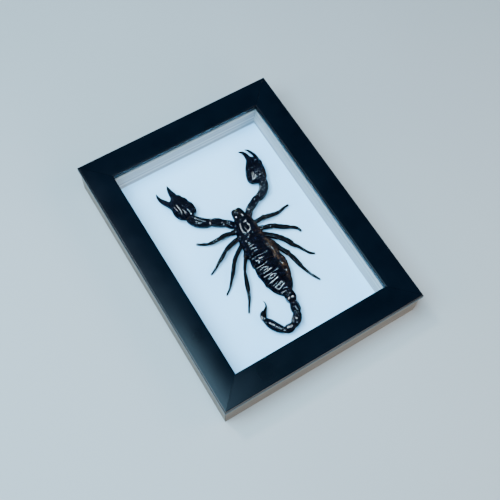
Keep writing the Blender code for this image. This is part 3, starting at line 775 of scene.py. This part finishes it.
TAIL_RIDGES = (
    (0.75, (5.6, -54.5), (5.7, -54.6)), (0.75, (2.6, -54.5), (2.7, -54.6)), (0.3, (4.5, -56.2), (4.6, -56.3)),
    (0.3, (5.2, -51.3), (5.3, -51.4)), (0.25, (4.2, -58.5), (4.3, -58.6)), (0.25, (3.5, -61.5), (3.5, -64.5)),
    (0.45, (-2.6, -67.6), (-4, -70.4)), (0.5, (-0.6, -69.3), (-0.7, -69.8)),
    (0.7, (-9.2, -72), (-6.4, -72.6)), (0.4, (-13.2, -71.7), (-11.6, -72.8)),
    (0.5, (-18.6, -62.6), (-16.6, -66)), (0.3, (-16.2, -66.8), (-13.6, -70.8)),
    (0.35, (-20.7, -55.4), (-21.1, -57.6)), (0.25, (-19.6, -57.4), (-19.7, -58.4)),
)
LEG_RIDGES = (
    (0.3, (17, 3.5), (17.2, 3.4)), (0.26, (24.8, 0.8), (25, 0.7)), (0.3, (24.2, -9.7), (24.4, -10)),
    (0.3, (22.7, -23), (22.8, -23.5)), (0.2, (34.6, 8.8), (34.8, 8.8)), (0.2, (39.6, 10.1), (39.7, 10.1)),
)
# y, x, half width, half height of the soft flank
FLANK = (
    (-43, 10.4, 2.2, 2.2), (-39, 11.6, 3.2, 3), (-33, 12.6, 4, 3.6), (-26.5, 13.2, 4.6, 3.9),
    (-21.4, 12.6, 3.9, 3.5), (-16, 13, 4.2, 3.7), (-8, 12.6, 4.2, 3.3), (-3, 12, 2.2, 2),
)
FLANK_HEIGHT = 10.4
FLANK_RIDGES = (
    (0.4, (13, -29), (13.1, -29.5)), (0.3, (12.9, -35.2), (12.9, -35.6)), (0.15, (13.3, -14.5), (13.2, -17)),
)
# Strands where the flank's brown skin tone is raised to paint its golden glints as painted highlights; points
# of x and y from the front to the rear
FLANK_GLINTS = (
    ((14, -8), (13.2, -12.5), (13.1, -17.3), (13, -21.8), (12.7, -25.5)), ((10.6, -18.4), (11.4, -21.8)),
    ((13.3, -28.6), (12.9, -31.5)), ((13, -34.6), (12.4, -37.8)),
)

# The numbers of the joints' points, then the points (x, y, z, radius) from the body out to the foot
LEGS = {
    "right_1": (
        (1, 3, 5, 6), (12.1, 10.6, 9, 1.7), (15.1, 10.1, 9.2, 1.6), (19.6, 9.9, 9.9, 1.5),
        (22.8, 9.6, 10.2, 1.65), (27.9, 8.6, 9.8, 1.4), (34.9, 8.5, 8.2, 0.98), (39.9, 9.9, 7.4, 0.85),
        (44.3, 10.6, 6.9, 0.6),
    ),
    "right_2": (
        (2, 3, 5, 7), (12.1, 5.3, 8.7, 1.6), (14.1, 4.4, 8.9, 1.5), (17.7, 2.9, 9.6, 1.5),
        (24.1, 0.1, 10.6, 1.65), (29.9, -4, 10, 1.5), (35.1, -6.6, 8.8, 1.05), (37.8, -8.1, 8, 1),
        (39.9, -10.1, 7.3, 0.8), (40.9, -12.7, 6.9, 0.6),
    ),
    "right_3": (
        (1, 3, 5, 7, 8), (12, 1.4, 8.8, 1.8), (14.2, -0.6, 8.9, 1.75), (17.2, -3.8, 9.6, 1.75),
        (23, -10.2, 10.8, 1.8), (26.4, -14.8, 10.4, 1.7), (28.9, -19.6, 9.6, 1.55), (31.9, -23.2, 8.6, 1),
        (34.7, -27.8, 7.6, 0.75), (36.7, -30.8, 7.2, 0.8), (39.7, -33, 6.9, 0.5),
    ),
    "right_4": (
        (1, 4, 6, 7, 8), (12.6, -2.7, 8.8, 1.8), (14.4, -5.7, 8.9, 1.7), (17, -10.8, 9.3, 1.55),
        (19, -17.3, 10, 1.5), (22.3, -25.2, 10.4, 1.6), (23.3, -29.5, 10.2, 1.6), (25, -37.5, 9.4, 1.2),
        (27.6, -44.6, 8, 0.7), (29.6, -48.3, 7.3, 0.75), (31.7, -52.1, 6.9, 0.5),
    ),
    "left_1": (
        (2, 4, 6, 7), (-0.5, 10.3, 9.2, 2.2), (-3.3, 10.4, 9.3, 1.8), (-5.4, 10.7, 9.6, 1.55),
        (-10.9, 11.4, 10.2, 1.65), (-14.5, 11.3, 10.2, 1.5), (-18.9, 11.4, 9.6, 1.3), (-23.6, 12.3, 8.4, 1),
        (-28.2, 14.9, 7.4, 0.8), (-31.2, 17.1, 6.9, 0.6),
    ),
    "left_2": (
        (1, 4, 6, 7), (-0.7, 5.1, 8.8, 1.8), (-3.2, 4.6, 9, 1.7), (-7, 3.7, 9.8, 1.7),
        (-11.5, 2.4, 10.5, 1.6), (-16.2, 0.6, 10.6, 1.35), (-20.3, -2.1, 10.2, 1.35), (-24.7, -4.3, 9.2, 1),
        (-28.6, -6.6, 8, 0.75), (-33.9, -9, 6.9, 0.55),
    ),
    "left_3": (
        (1, 4, 6, 8), (-1.1, 1.5, 8.8, 1.7), (-3.7, -1, 8.9, 1.6), (-8.3, -4.2, 9.8, 1.5),
        (-12.6, -7.5, 10.6, 1.4), (-16.1, -10.9, 10.8, 1.45), (-19, -14.8, 10.4, 1.45),
        (-21.8, -18.2, 9.6, 1.3), (-24.6, -21.3, 8.6, 0.95), (-27.5, -24.5, 7.7, 0.7),
        (-32.3, -28.2, 6.9, 0.5),
    ),
    "left_4": (
        (2, 4, 7, 8, 9), (-0.8, -3.4, 8.7, 1.9), (-3.5, -7.4, 8.9, 1.9), (-6.4, -11.2, 9.4, 1.6),
        (-10.1, -16.1, 10.1, 1.1), (-12.6, -20.1, 10.5, 1), (-14.6, -24.8, 10.4, 1.4),
        (-16.5, -29.5, 9.9, 1.5), (-18.6, -35, 9, 1.25), (-20.8, -39.8, 8, 0.9), (-23.4, -43.7, 7.3, 0.65),
        (-25.9, -47.7, 6.9, 0.5),
    ),
}
# A claw's points: how far ahead of the foot, to the side and up, then the radius
CLAW = ((0, 0, 0, 0.2), (0.35, 0.2, 0.12, 0.15), (0.62, 0.36, -0.05, 0.1), (0.72, 0.42, -0.35, 0.04))
# Stout segments: start and end of the middle line, half width, half height and the sideways bow.
ARMS = {
    "left": (
        ((0.9, 14.2, 9.4), (-4.6, 19.4, 9.4), 2.9, 2.8, 0),
        ((-3, 18.6, 9.5), (-13.9, 26.1, 9.9), 3.05, 2.9, 0),
        ((-12.9, 25.5, 9.9), (-26.3, 37.2, 10), 3.7, 3.3, -2.2),
    ),
    "right": (
        ((11.8, 15.2, 9.4), (15.5, 20, 9.4), 2.9, 2.8, 0), ((13.9, 19.5, 9.4), (26.9, 26.5, 9.9), 3, 2.9, 0),
        ((25.9, 25.4, 9.9), (37.4, 36.8, 10), 3.55, 3.3, 2.8),
    ),
}
HANDS = {
    "left": (
        (36.8, -29.2, -22.6, 2.1), (38.6, -31.4, -18.6, 3), (40.6, -32.8, -17.6, 3.8),
        (44, -33.9, -17.6, 4.2), (48, -33.8, -18.5, 4), (52, -33.4, -20.2, 3.5), (55, -32, -21.6, 2.9),
        (57.4, -30, -23, 2.2),
    ),
    "right": (
        (36.4, 33.4, 41, 2.1), (38.2, 29.2, 42.5, 3), (40.2, 28, 43.2, 3.7), (43.6, 28, 44.1, 4.2),
        (48, 29.6, 45, 4.1), (52, 31.7, 45.4, 3.6), (55.2, 34.1, 44.6, 3), (57.6, 36, 41.6, 2.2),
    ),
}
HAND_HEIGHT = 10.2
# The fixed finger, then the one that hinges outside it, with points as the legs'.
FINGERS = {
    "left": (
        (
            (-27, 54.5, 10, 3), (-26.9, 59, 9.8, 2.6), (-27.2, 62.6, 9.6, 1.95), (-27.1, 65.8, 9.4, 1.25),
            (-26.8, 68.9, 9.2, 0.3),
        ),
        (
            (-31, 50.3, 9.8, 2.7), (-33.4, 54.5, 9.6, 2.2), (-35.7, 58.4, 9.4, 1.9), (-37, 61.6, 9.2, 1.35),
            (-37.3, 64.3, 9.1, 0.9), (-36.9, 66.9, 9, 0.3),
        ),
    ),
    "right": (
        (
            (38.9, 55, 10, 2.9), (38.3, 59, 9.8, 2.1), (38.1, 62.2, 9.6, 1.6), (37.3, 64.8, 9.4, 1.15),
            (34.7, 67.3, 9.2, 0.3),
        ),
        (
            (43.1, 51.5, 9.8, 2.2), (44.1, 56, 9.6, 1.5), (44, 59.6, 9.4, 1.15), (43.1, 62.4, 9.2, 1),
            (42.1, 64.8, 9.1, 0.75), (40.2, 66.7, 9, 0.3),
        ),
    ),
}
CHELICERAE = (
    ((4.3, 15.5, 10.6), (5, 25.9, 10.2), 2.65, 3.1, 0), ((9.4, 15.5, 10.6), (8.7, 26, 10.2), 2.65, 3.1, 0),
)
EYE_MOUND = (6.1, 9.6)
TAIL = (
    ((5.4, -48, 10.2), (4.5, -57.9, 10), 3.95, 3.6, 0), ((5.1, -57, 10), (2.3, -66.4, 9.9), 3.6, 3.4, 0),
    ((2.9, -64.9, 9.9), (-4.9, -72.6, 9.8), 3.5, 3.3, -1.1),
    ((-4, -72.1, 9.8), (-11.9, -72.4, 9.7), 3.2, 3, -0.5),
    ((-11.3, -72.9, 9.7), (-19.6, -57.9, 9.6), 3.1, 3, -1.1),
)
VESICLE = ((-19.8, -59.2, 9.6), (-16.4, -52.6, 9.3), 2.45, 2.5, -0.95)
STING = (
    (-17.3, -54.2, 9.4, 1.6), (-15.1, -52.1, 9.3, 1.15), (-13.5, -50.3, 9.2, 0.75), (-12.7, -48.3, 9.1, 0.48),
    (-12.7, -46.9, 9, 0.35), (-13.2, -45.6, 9, 0.15),
)
# Share of a segment's full section at steps along it
LIMB_STEPS = ((0, 0.5), (0.06, 0.8), (0.3, 0.93), (0.62, 1), (0.9, 0.93), (0.97, 0.78), (1, 0.6))
LEG_STEPS = ((0, 0.7), (0.05, 0.9), (0.16, 1), (0.45, 1), (0.8, 1.08), (0.94, 1.1), (1, 0.8))
TAIL_STEPS = ((0, 0.45), (0.06, 0.7), (0.25, 0.9), (0.5, 1), (0.74, 0.94), (0.92, 0.7), (1, 0.48))
CHELICERA_STEPS = (
    (0, 0.85), (0.35, 1), (0.62, 1), (0.75, 0.94), (0.84, 0.83), (0.92, 0.65), (0.97, 0.45), (1, 0.2),
)


# The animal's forms

def upright(stations, ys, heights, squareness, sides, roof):
    """Rings across the trunk or a hand; heights gives bottom and top from the last column."""
    left, right, last = (interpolate(stations, ys, k) for k in (1, 2, 3))
    low, top = heights(last)
    waist = low + 0.45 * (top - low)
    centre = np.stack([(left + right) / 2, ys, waist], 1)
    return Grid(centre, RIGHT, UP, (right - left) / 2, top - waist, waist - low, squareness, sides, roof)


def trunk_rings(stations, ys):
    return upright(stations, ys, lambda top: (BELLY + 0 * top, top), 2.9, 180, 0.36)


def frame_along(travel):
    """Across and up for each direction of travel."""
    across = unit(np.cross(travel, UP))
    return across, np.cross(across, travel)


def barrel(start, end, half_width, half_height, bow, rings, sides, steps=LIMB_STEPS, squareness=2.7):
    """A stout segment pinched at both joints, on a line that bows sideways."""
    start, end = np.array(start), np.array(end)
    chord = end - start
    bend = (start + end) / 2 + unit(np.cross(chord, UP)) * 2 * bow
    t = (1 - np.cos(np.linspace(0, np.pi, rings))) / 2
    t = 0.5 * t + 0.5 * np.linspace(0, 1, rings)
    share = t[:, None]
    centre = (1 - share) ** 2 * start + 2 * share * (1 - share) * bend + share**2 * end
    travel = unit((1 - share) * (bend - start) + share * (end - bend))
    size = np.interp(t, *zip(*steps))
    size = np.convolve(np.pad(size, 2, "edge"), np.ones(5) / 5, "valid")
    rise = half_height * size
    grid = Grid(centre, *frame_along(travel), half_width * size, rise, rise, squareness, sides)
    grid.u = t[:, None] + 0 * grid.u
    return grid


def rope(points, rings, sides, squareness=2.2, steps=None, flat=1.0):
    """A tapering form through points that carry their own radius."""
    line = spline(points, rings)
    centre, radius = line[:, :3], np.maximum(line[:, 3], 0.05)
    if steps:
        radius = radius * np.interp(np.linspace(0, 1, rings), *zip(*steps))
    frame_at = frame_along(unit(np.gradient(centre, axis=0)))
    return Grid(centre, *frame_at, radius, radius * flat, radius * flat, squareness, sides)


def ball(centre, sizes, rings=20, sides=24, tone=(0.0, 0.0, 0.0)):
    """A rounded form lying along Y."""
    t = np.linspace(-1, 1, rings) * np.pi / 2 * 0.98
    line = np.sin(t)[:, None] * np.array((0, sizes[1], 0)) + np.array(centre)
    rise = sizes[2] * np.cos(t)
    grid = Grid(line, RIGHT, UP, sizes[0] * np.cos(t), rise, rise, 2.0, sides)
    grid.tone[:] = tone
    return grid


def knuckle(form, reach, sizes, tone):
    """A rounded joint just inside the start of a stout segment."""
    start = np.array(form[0])
    return ball(start + unit(np.array(form[1]) - start) * reach, sizes, tone=tone)


def top_side(grid):
    """1 on the upper side of a form and 0 below, with a soft change."""
    return smooth_step(-0.1, 0.5, np.sin(grid.angle))


def column(x):
    """Where the back is drawn into folds: a strip along its left half."""
    return smooth_step(-5.2, -3.6, x) * (1 - smooth_step(6.0, 9.0, x))


def carapace():
    ys = np.concatenate([np.linspace(0.4, 17.0, 122), np.linspace(17.15, 19.2, 22)])
    grid = trunk_rings(CARAPACE, ys)
    x, y = grid.settle()
    top = top_side(grid)
    side = np.abs(x - EYE_MOUND[0])
    relief = 0.3 * bump_at(side, 4.6, 0.9) * smooth_step(2.5, 6.5, y) * (1 - smooth_step(13.0, 16.0, y))
    relief -= 0.5 * bump_at(side, 0, 0.55) * (smooth_step(11.5, 13.0, y) + 1 - smooth_step(2.5, 4.0, y))
    beside = smooth_step(2.6, 3.6, side) * (1 - smooth_step(5, 7, side))
    relief -= 0.35 * bump_at(y, 4.0 - 0.25 * side, 0.5) * beside
    relief -= 0.3 * bump_at(side, 5.9, 0.6) * bump_at(y, 8.5, 4.0)
    relief += 0.5 * bump_at(side / 1.3, 0, 1) * bump_at(y, EYE_MOUND[1], 2.2)
    relief += 0.2 * bump_at(y, 1.0, 0.5)
    grid.raise_by(relief * top)
    grid.lumps(1.6, 0.1, 3).granules(0.62, 0.12, 0.9, 5)
    grid.dust(0.88)
    grid.folds(RIDGES, 5.6, depth=0.3).grains(60, 6)
    grid.tone[..., SKIN] = 0.3 * smooth_step(11.0, 14.0, x)
    return grid


def tergite(front, rear, left, right, top, before):
    """One plate: its rear lip stands over the next, its front edge goes under the one before."""
    step = TERGITE_STEP
    stations = (
        (rear - 0.3, left + 1.3, right - 1.3, top - 1.2),
        (rear - 0.22, left + 0.35, right - 0.35, top - 0.35),
        (rear - 0.1, left + 0.06, right - 0.06, top - 0.06), (rear, left, right, top),
        ((front + rear) / 2, left, right, top - 0.15),
        (front - 0.25, before[0] + step, before[1] - step, before[2] - step),
        (front + 0.8, before[0] + step + 0.3, before[1] - step - 0.3, before[2] - step - 0.35),
    )
    rings = int((front - rear) * 7)
    ys = np.concatenate([np.linspace(rear - 0.3, rear, 6), np.linspace(rear, front + 0.8, rings)[1:]])
    return fold_plate(trunk_rings(stations, ys), (left + right) / 2)


def fold_plate(grid, middle):
    x, y = grid.settle()
    wander = grid.noise(2.6, 21)
    cross = np.abs(np.mod(y / 1.6 + 0.35 * wander, 1.0) - 0.5) * 2
    grid.raise_by(-0.3 * cross * top_side(grid) * (0.35 + 0.65 * column(x)))
    grid.lumps(0.9, 0.05, 23).lumps(3.0, 0.08, 24).granules(0.5, 0.05, 0.7, 25)
    grid.dust(0.88)
    grid.folds(RIDGES, middle, depth=0.25)
    edge = smooth_step(11.0, 13.6, x + 0.9 * wander)
    grid.tone[..., SKIN] = 0.6 * edge * (0.6 + 0.4 * wander)
    return grid


def trunk_forms():
    yield carapace()
    before = (-4.2, 15.1, 14.2)
    for front, rear, left, right, top in TERGITES:
        yield tergite(front, rear, left, right, top, before)
        before = (left, right, top)
    ys = np.linspace(-49.8, -38.0, 90)
    yield fold_plate(trunk_rings(LAST_TERGITE, ys), 5.0)


def flank_form():
    ys = np.linspace(-43.0, -3.0, 260)
    centre = np.stack([interpolate(FLANK, ys, 1), ys, np.full_like(ys, FLANK_HEIGHT)], 1)
    half_width, half_height = interpolate(FLANK, ys, 2), interpolate(FLANK, ys, 3)
    grid = Grid(centre, RIGHT, UP, half_width, half_height, half_height, 2.0, 96)
    wander = grid.noise(2.2, 31)
    x, y = grid.points[..., 0], grid.points[..., 1]
    folds = np.sin(y * 2 * np.pi / 2.1 + 2.6 * wander) * 0.5
    folds += np.sin(y * 2 * np.pi / 0.85 + 3 * wander) * 0.3
    grid.raise_by(0.26 * folds * (0.6 + 0.4 * wander))
    grid.lumps(0.6, 0.12, 33)
    glint_distance = np.full(x.shape, 9.0)
    for line in FLANK_GLINTS:
        line = np.array(line)
        glint_distance = np.minimum(glint_distance, np.abs(x - np.interp(-y, -line[:, 1], line[:, 0])) +
                            2 * np.maximum(np.maximum(y - line[0, 1], line[-1, 1] - y), 0))
    # A painted highlight: the skin tone rises along the glint strands, over the flank's own random brown.
    light = bump_at(glint_distance + 0.3 * wander, 0, 0.5)
    grid.tone[..., SKIN] = np.clip(0.2 + 0.35 * wander, 0, 1) + 0.9 * light
    grid.settle()
    return grid.dust(0.75).folds(FLANK_RIDGES, lift=0.2, plane=1.0).grains(30, 35)


def eye_forms():
    x, y = EYE_MOUND
    for side in (-1, 1):
        yield ball((x + side * 0.95, y + 0.3, 15.0), (0.5, 0.62, 0.5))
        for k in range(3):
            yield ball((x + side * (5.2 - 0.25 * k), 15.2 + 0.8 * k, 12.95 - 0.28 * k), (0.32, 0.34, 0.3))


def chelicera_forms():
    for k, sizes in enumerate(CHELICERAE):
        grid = barrel(*sizes, 130, 120, CHELICERA_STEPS, 2.2)
        grid.settle()
        grid.lumps(1.2, 0.1, 41 + k).granules(0.5, 0.05, 0.8, 43 + k)
        grid.dust(0.8).folds(HEAD_RIDGES, lift=0.15)
        # Pale gold toward the front: partly the chelicerae's own paler colour, partly a painted highlight for
        # their olive glints.
        far = smooth_step(0.45, 0.8, grid.u)
        grid.tone[..., GOLD] = 0.3 * far * smooth_step(0.1, 0.6, grid.noise(1.6, 45))
        grid.tone[..., BROWN] = 0.5
        yield grid
        x, y, z = sizes[1]
        turn = 1 if k else -1
        for dx, dz, size in ((-0.9 * turn, 0.7, 0.85), (0.8 * turn, -0.6, 0.95)):
            tip = ((1.0, -1.8, 0.0, size), (1.15, -0.3, -0.5, size * 0.85), (1.0, 0.1, -1.5, size * 0.5),
                   (0.6, -0.3, -2.3, 0.12))
            finger = rope([(x + dx * out, y + ahead, z + dz + rise, radius)
                           for out, ahead, rise, radius in tip], 26, 18)
            # Brown fingers with a little pale gold, which is partly a painted highlight.
            finger.tone[:] = (0.0, 0.8, 0.2)
            yield finger


def keeled(grid, seed, keels, teeth=0.2, pitch=24.0, size=0.62):
    """Give a segment its keels, then granules and lumps."""
    for degrees, rise, width in keels:
        grid.keel(degrees, rise, width, teeth=teeth, pitch=pitch)
    grid.settle()
    return grid.granules(size, 0.1, 0.9, seed).lumps(1.4, 0.08, seed + 2)


def joint_skin(grid, amount=0.55, reach=0.06):
    """Softer brown skin where a segment meets its neighbours."""
    ends = 1 - smooth_step(0.0, reach, grid.u) + smooth_step(1 - reach, 1.0, grid.u)
    grid.tone[..., SKIN] = np.maximum(grid.tone[..., SKIN], amount * ends)
    return grid


ARM_KEELS = ((48, 0.28, 0.16), (132, 0.28, 0.16), (90, -0.22, 0.42), (-35, 0.22, 0.16), (215, 0.22, 0.16))


def arm_forms(side):
    seed = 50 if side == "left" else 60
    trochanter, femur, patella = ARMS[side]
    for k, (form, keels, rings, sides, grains) in enumerate((
            (trochanter, ((60, 0.2, 0.3), (130, 0.2, 0.3)), 60, 80, 6), (femur, ARM_KEELS, 120, 110, 12),
            (patella, ARM_KEELS, 150, 120, 14))):
        grid = keeled(barrel(*form, rings, sides), seed + k, keels)
        if k:
            joint_skin(grid)
        grid.dust(0.8, 0.95, seed).folds(ARM_RIDGES[side], dash=CREST_DASH)
        yield grid.grains(grains, seed + 5 + k, 0.2, 0.22)
    # Knuckles in the soft brown of joint skin, with pale gold that is a painted highlight at the joints.
    for form in (femur, patella):
        yield knuckle(form, 0.5, (1.75, 1.75, 1.9), (0.6, 0.0, 0.25))


def hand_form(side):
    stations = HANDS[side]
    y, left, right, half = stations[-1]
    middle = FINGERS[side][0][1][0]
    stations = (*stations, (y + 0.8, left * 0.55 + middle * 0.45, right * 0.55 + middle * 0.45, half * 0.75),
                (y + 1.3, left * 0.2 + middle * 0.8, right * 0.2 + middle * 0.8, half * 0.4))
    low, high = stations[0][0], stations[-1][0]
    ys = np.concatenate([np.linspace(low, low + 3.0, 30), np.linspace(low + 3.0, high, 136)[1:]])
    grid = upright(stations, ys, lambda half: (HAND_HEIGHT - half, HAND_HEIGHT + half), 2.3, 220, 0.0)
    grid.settle()
    outer = side == "left"
    for degrees in (62, 88, 112, 134) if outer else (48, 72, 96, 120):
        grid.keel(degrees, 0.2, 0.1, 0.04, 0.98, teeth=0.35, pitch=30)
    grid.keel(180 if outer else 0, 0.25, 0.14, 0.05, 1.0, teeth=0.45, pitch=26)
    grid.granules(0.95, 0.16, 1.0, 71 if outer else 72).granules(0.45, 0.07, 1.0, 73).lumps(3.0, 0.12, 75)
    grid.dust(0.8, 0.97, 76).folds(HAND_RIDGES[side], lift=0.42, dash=CREST_DASH)
    return grid.grains(16, 78, 0.16, 0.25)


def finger_forms(side):
    fixed, movable = FINGERS[side]
    inner = {"left": (180, 0), "right": (0, 180)}[side]
    for k, points in enumerate((fixed, movable)):
        grid = rope(points, 110, 48)
        grid.keel(90, 0.12, 0.25, 0.0, 0.8, teeth=0.3, pitch=30)
        for row in (-9, 9):
            grid.keel(inner[k] + row, 0.2, 0.1, 0.2, 1.0, teeth=0.95, pitch=24)
        grid.granules(0.5, 0.06, 0.8, 81 + k)
        grid.tone[..., BROWN] = 0.35 * smooth_step(0.55, 1.0, grid.u)
        yield grid.dust(0.8, 0.9, 83)
    x, y, z, radius = movable[0]
    yield ball((x, y + 0.6, z + 0.3), (radius * 1.08, radius * 1.3, radius * 1.1), 24, 32)


TAIL_KEELS = (
    (62, 0.34, 0.14), (118, 0.34, 0.14), (90, -0.3, 0.3), (18, 0.25, 0.16), (162, 0.25, 0.16),
    (-40, 0.2, 0.18), (220, 0.2, 0.18),
)


def tail_forms():
    for k, sizes in enumerate(TAIL):
        grid = barrel(*sizes, 110, 110, TAIL_STEPS, 2.5)
        keeled(grid, 90 + 3 * k, TAIL_KEELS, 0.25, 16.0, 0.7)
        for degrees in (62, 118):
            grid.raise_by(0.45 * bump_at(grid.beside(degrees), 0, 0.2) * bump_at(grid.u, 0.9, 0.045))
        joint_skin(grid, 0.5, 0.05).dust(0.8, 0.92, 119).folds(TAIL_RIDGES, dash=CREST_DASH)
        yield grid.grains(6, 124 + k, 0.18, 0.2)
        yield knuckle(sizes, 0.6, (sizes[2] * 0.66, sizes[2] * 0.66, sizes[3] * 0.72), (0.5, 0.0, 0.0))
    grid = barrel(*VESICLE, 80, 84, TAIL_STEPS, 2.1)
    grid.settle()
    grid.granules(0.7, 0.08, 0.8, 120).lumps(1.5, 0.08, 121)
    grid.tone[..., BROWN] = 0.5
    yield grid.dust(0.8, 0.95, 122).folds(TAIL_RIDGES, lift=0.15)
    grid = rope(STING, 64, 28)
    grid.tone[..., BROWN] = 0.6
    yield grid.dust(0.8, 0.9, 123)


def leg_forms(name):
    joints, *points = LEGS[name]
    given = np.array(points)
    line = spline(given, 600)
    length, at = travelled(line[:, :3]), travelled(given[:, :3])
    at *= length[-1] / at[-1]
    breaks = [0.0] + [at[k] for k in joints] + [length[-1]]
    seed = 130 + 7 * sorted(LEGS).index(name)
    for k, (a, b) in enumerate(zip(breaks, breaks[1:])):
        places = np.linspace(max(a - 0.45, 0.0), b, 44)
        part = np.stack([np.interp(places, length, line[:, j]) for j in range(4)], 1)
        part[:, 3] += 0.1
        grid = rope(part, 44, 30, 2.35, LEG_STEPS, 1.05)
        thick = part[:, 3].mean()
        for degrees in (40, 140):
            grid.keel(degrees, 0.13 * thick, 0.2, 0.1, 0.95, teeth=0.4, pitch=9.0)
        grid.settle()
        grid.granules(0.42, 0.05 * thick, 0.8, seed + k).lumps(0.9, 0.05, seed + k + 1)
        grid.tone[..., BROWN] = 0.5
        joint_skin(grid, 0.45)
        grid.dust(0.78, 0.93, seed + 50).folds(LEG_RIDGES, lift=0.2)
        yield grid.grains(4, seed + 60 + k, 0.12, 0.1)
    travel = unit(line[-1, :3] - line[-12, :3])
    across = np.cross(travel, UP)
    for side in (-1, 1):
        root = line[-1, :3] - travel * 0.25 + across * side * 0.12
        claw = [(*(root + travel * ahead + across * side * out + UP * rise), radius)
                for ahead, out, rise, radius in CLAW]
        grid = rope(claw, 14, 10)
        grid.tone[..., BROWN] = 1.0
        yield grid


def bristles(grids, every, length, seed):
    """Thin tapered hairs that stand on the upper sides of the given forms."""
    random = np.random.RandomState(seed)
    out = Builder()
    sides = np.array([(math.cos(a), math.sin(a)) for a in (0.3, 2.4, 4.5)])
    hair = [(k, n, n + 3, k + 3) for k, n in ((0, 1), (1, 2), (2, 0), (3, 4), (4, 5), (5, 3))]
    hair += [(2, 1, 0), (6, 7, 8)]
    for grid in grids:
        points = grid.points
        rings, count = grid.u.shape
        reach = np.linalg.norm(points[-1].mean(0) - points[0].mean(0))
        for _ in range(max(2, int(reach * every))):
            i = random.randint(2, rings - 2)
            j = random.randint(0, count)
            normal = grid.out[i, j]
            if normal[2] < -0.25:
                continue
            travel = unit(points[i + 1].mean(0) - points[i - 1].mean(0))
            way = unit(normal + travel * (0.35 + 0.3 * random.rand()) + random.normal(0, 0.12, 3))
            size = length * (0.55 + 0.6 * random.rand())
            a = unit(np.cross(way, UP + 0.01))
            b = np.cross(way, a)
            root = points[i, j] - normal * 0.05
            for share, radius in ((0.0, 0.04), (0.55, 0.026), (1.0, 0.006)):
                middle = root + way * size * share - UP * size * 0.12 * share**2
                out.points.append(middle + (sides[:, :1] * a + sides[:, 1:] * b) * radius)
                out.tones.append(np.zeros((3, 3)))
            out.faces += [tuple(out.count + k for k in face) for face in hair]
            out.count += 9
    return out


def build_scorpion():
    # In the order of the kinds of face: glossy, DULL and CREST
    skins = (cuticle("scorpion_cuticle", 0.14, 0.08, 0.05), cuticle("scorpion_cuticle_dusty", 0.7, 0.03, 0.2),
             crest_cuticle())
    hairy = []

    def piece(name, forms, bristly=True):
        built = Builder()
        for form in forms:
            built.grid(form)
            if bristly:
                hairy.append(form)
        built.build(name, *skins)

    piece("scorpion_trunk", trunk_forms(), False)
    piece("scorpion_flank", [flank_form()], False)
    piece("scorpion_eyes", eye_forms(), False)
    piece("scorpion_chelicerae", chelicera_forms())
    for side in ("left", "right"):
        piece("scorpion_arm_" + side, arm_forms(side))
        piece("scorpion_hand_" + side, [hand_form(side), *finger_forms(side)])
        legs = (form for name in LEGS if name.startswith(side) for form in leg_forms(name))
        piece("scorpion_legs_" + side, legs)
    piece("scorpion_tail", tail_forms())
    bristles(hairy, 1.3, 0.8, 7).build("scorpion_bristles", bristle())


def add_floor():
    """A plain pale studio floor, with a faint unevenness."""
    s = Shader("studio_floor", (0.62, 0.62, 0.62), 0.55)
    s.colour(s.fade(s.noise(3.0, 2.0), (0.6, 0.6, 0.605), (0.64, 0.64, 0.645)))
    mesh = bpy.data.meshes.new("floor")
    mesh.from_pydata([(-3, -3, 0), (3, -3, 0), (3, 3, 0), (-3, 3, 0)], [], [(0, 1, 2, 3)])
    mesh.materials.append(s.material)
    floor = add_object("floor", mesh)
    floor.location.z = -0.0002


add_camera()
add_floor()
add_world((0.75, 0.85, 1.0), 0.01)
add_light("main", (-0.33, 0.0, 0.92), (0.76, 0.56), 18.0, (0.42, 0.77, 1.0))
add_light("key", (-0.27, 0.43, 0.95), (0.16, 0.14), 3.8, (0.78, 0.9, 1.0))
add_light("left_fill", (-0.75, 0.1, 0.5), (0.3, 0.3), 1.3, (1.0, 0.92, 0.84))
add_light("front_fill", (0.16, -0.85, 0.38), (0.4, 0.4), 2.4, (1.0, 0.95, 0.9))
add_light("right_fill", (0.55, -0.35, 0.6), (0.4, 0.4), 2.0, (1.0, 0.72, 0.5))
dress_frame()
build_scorpion()
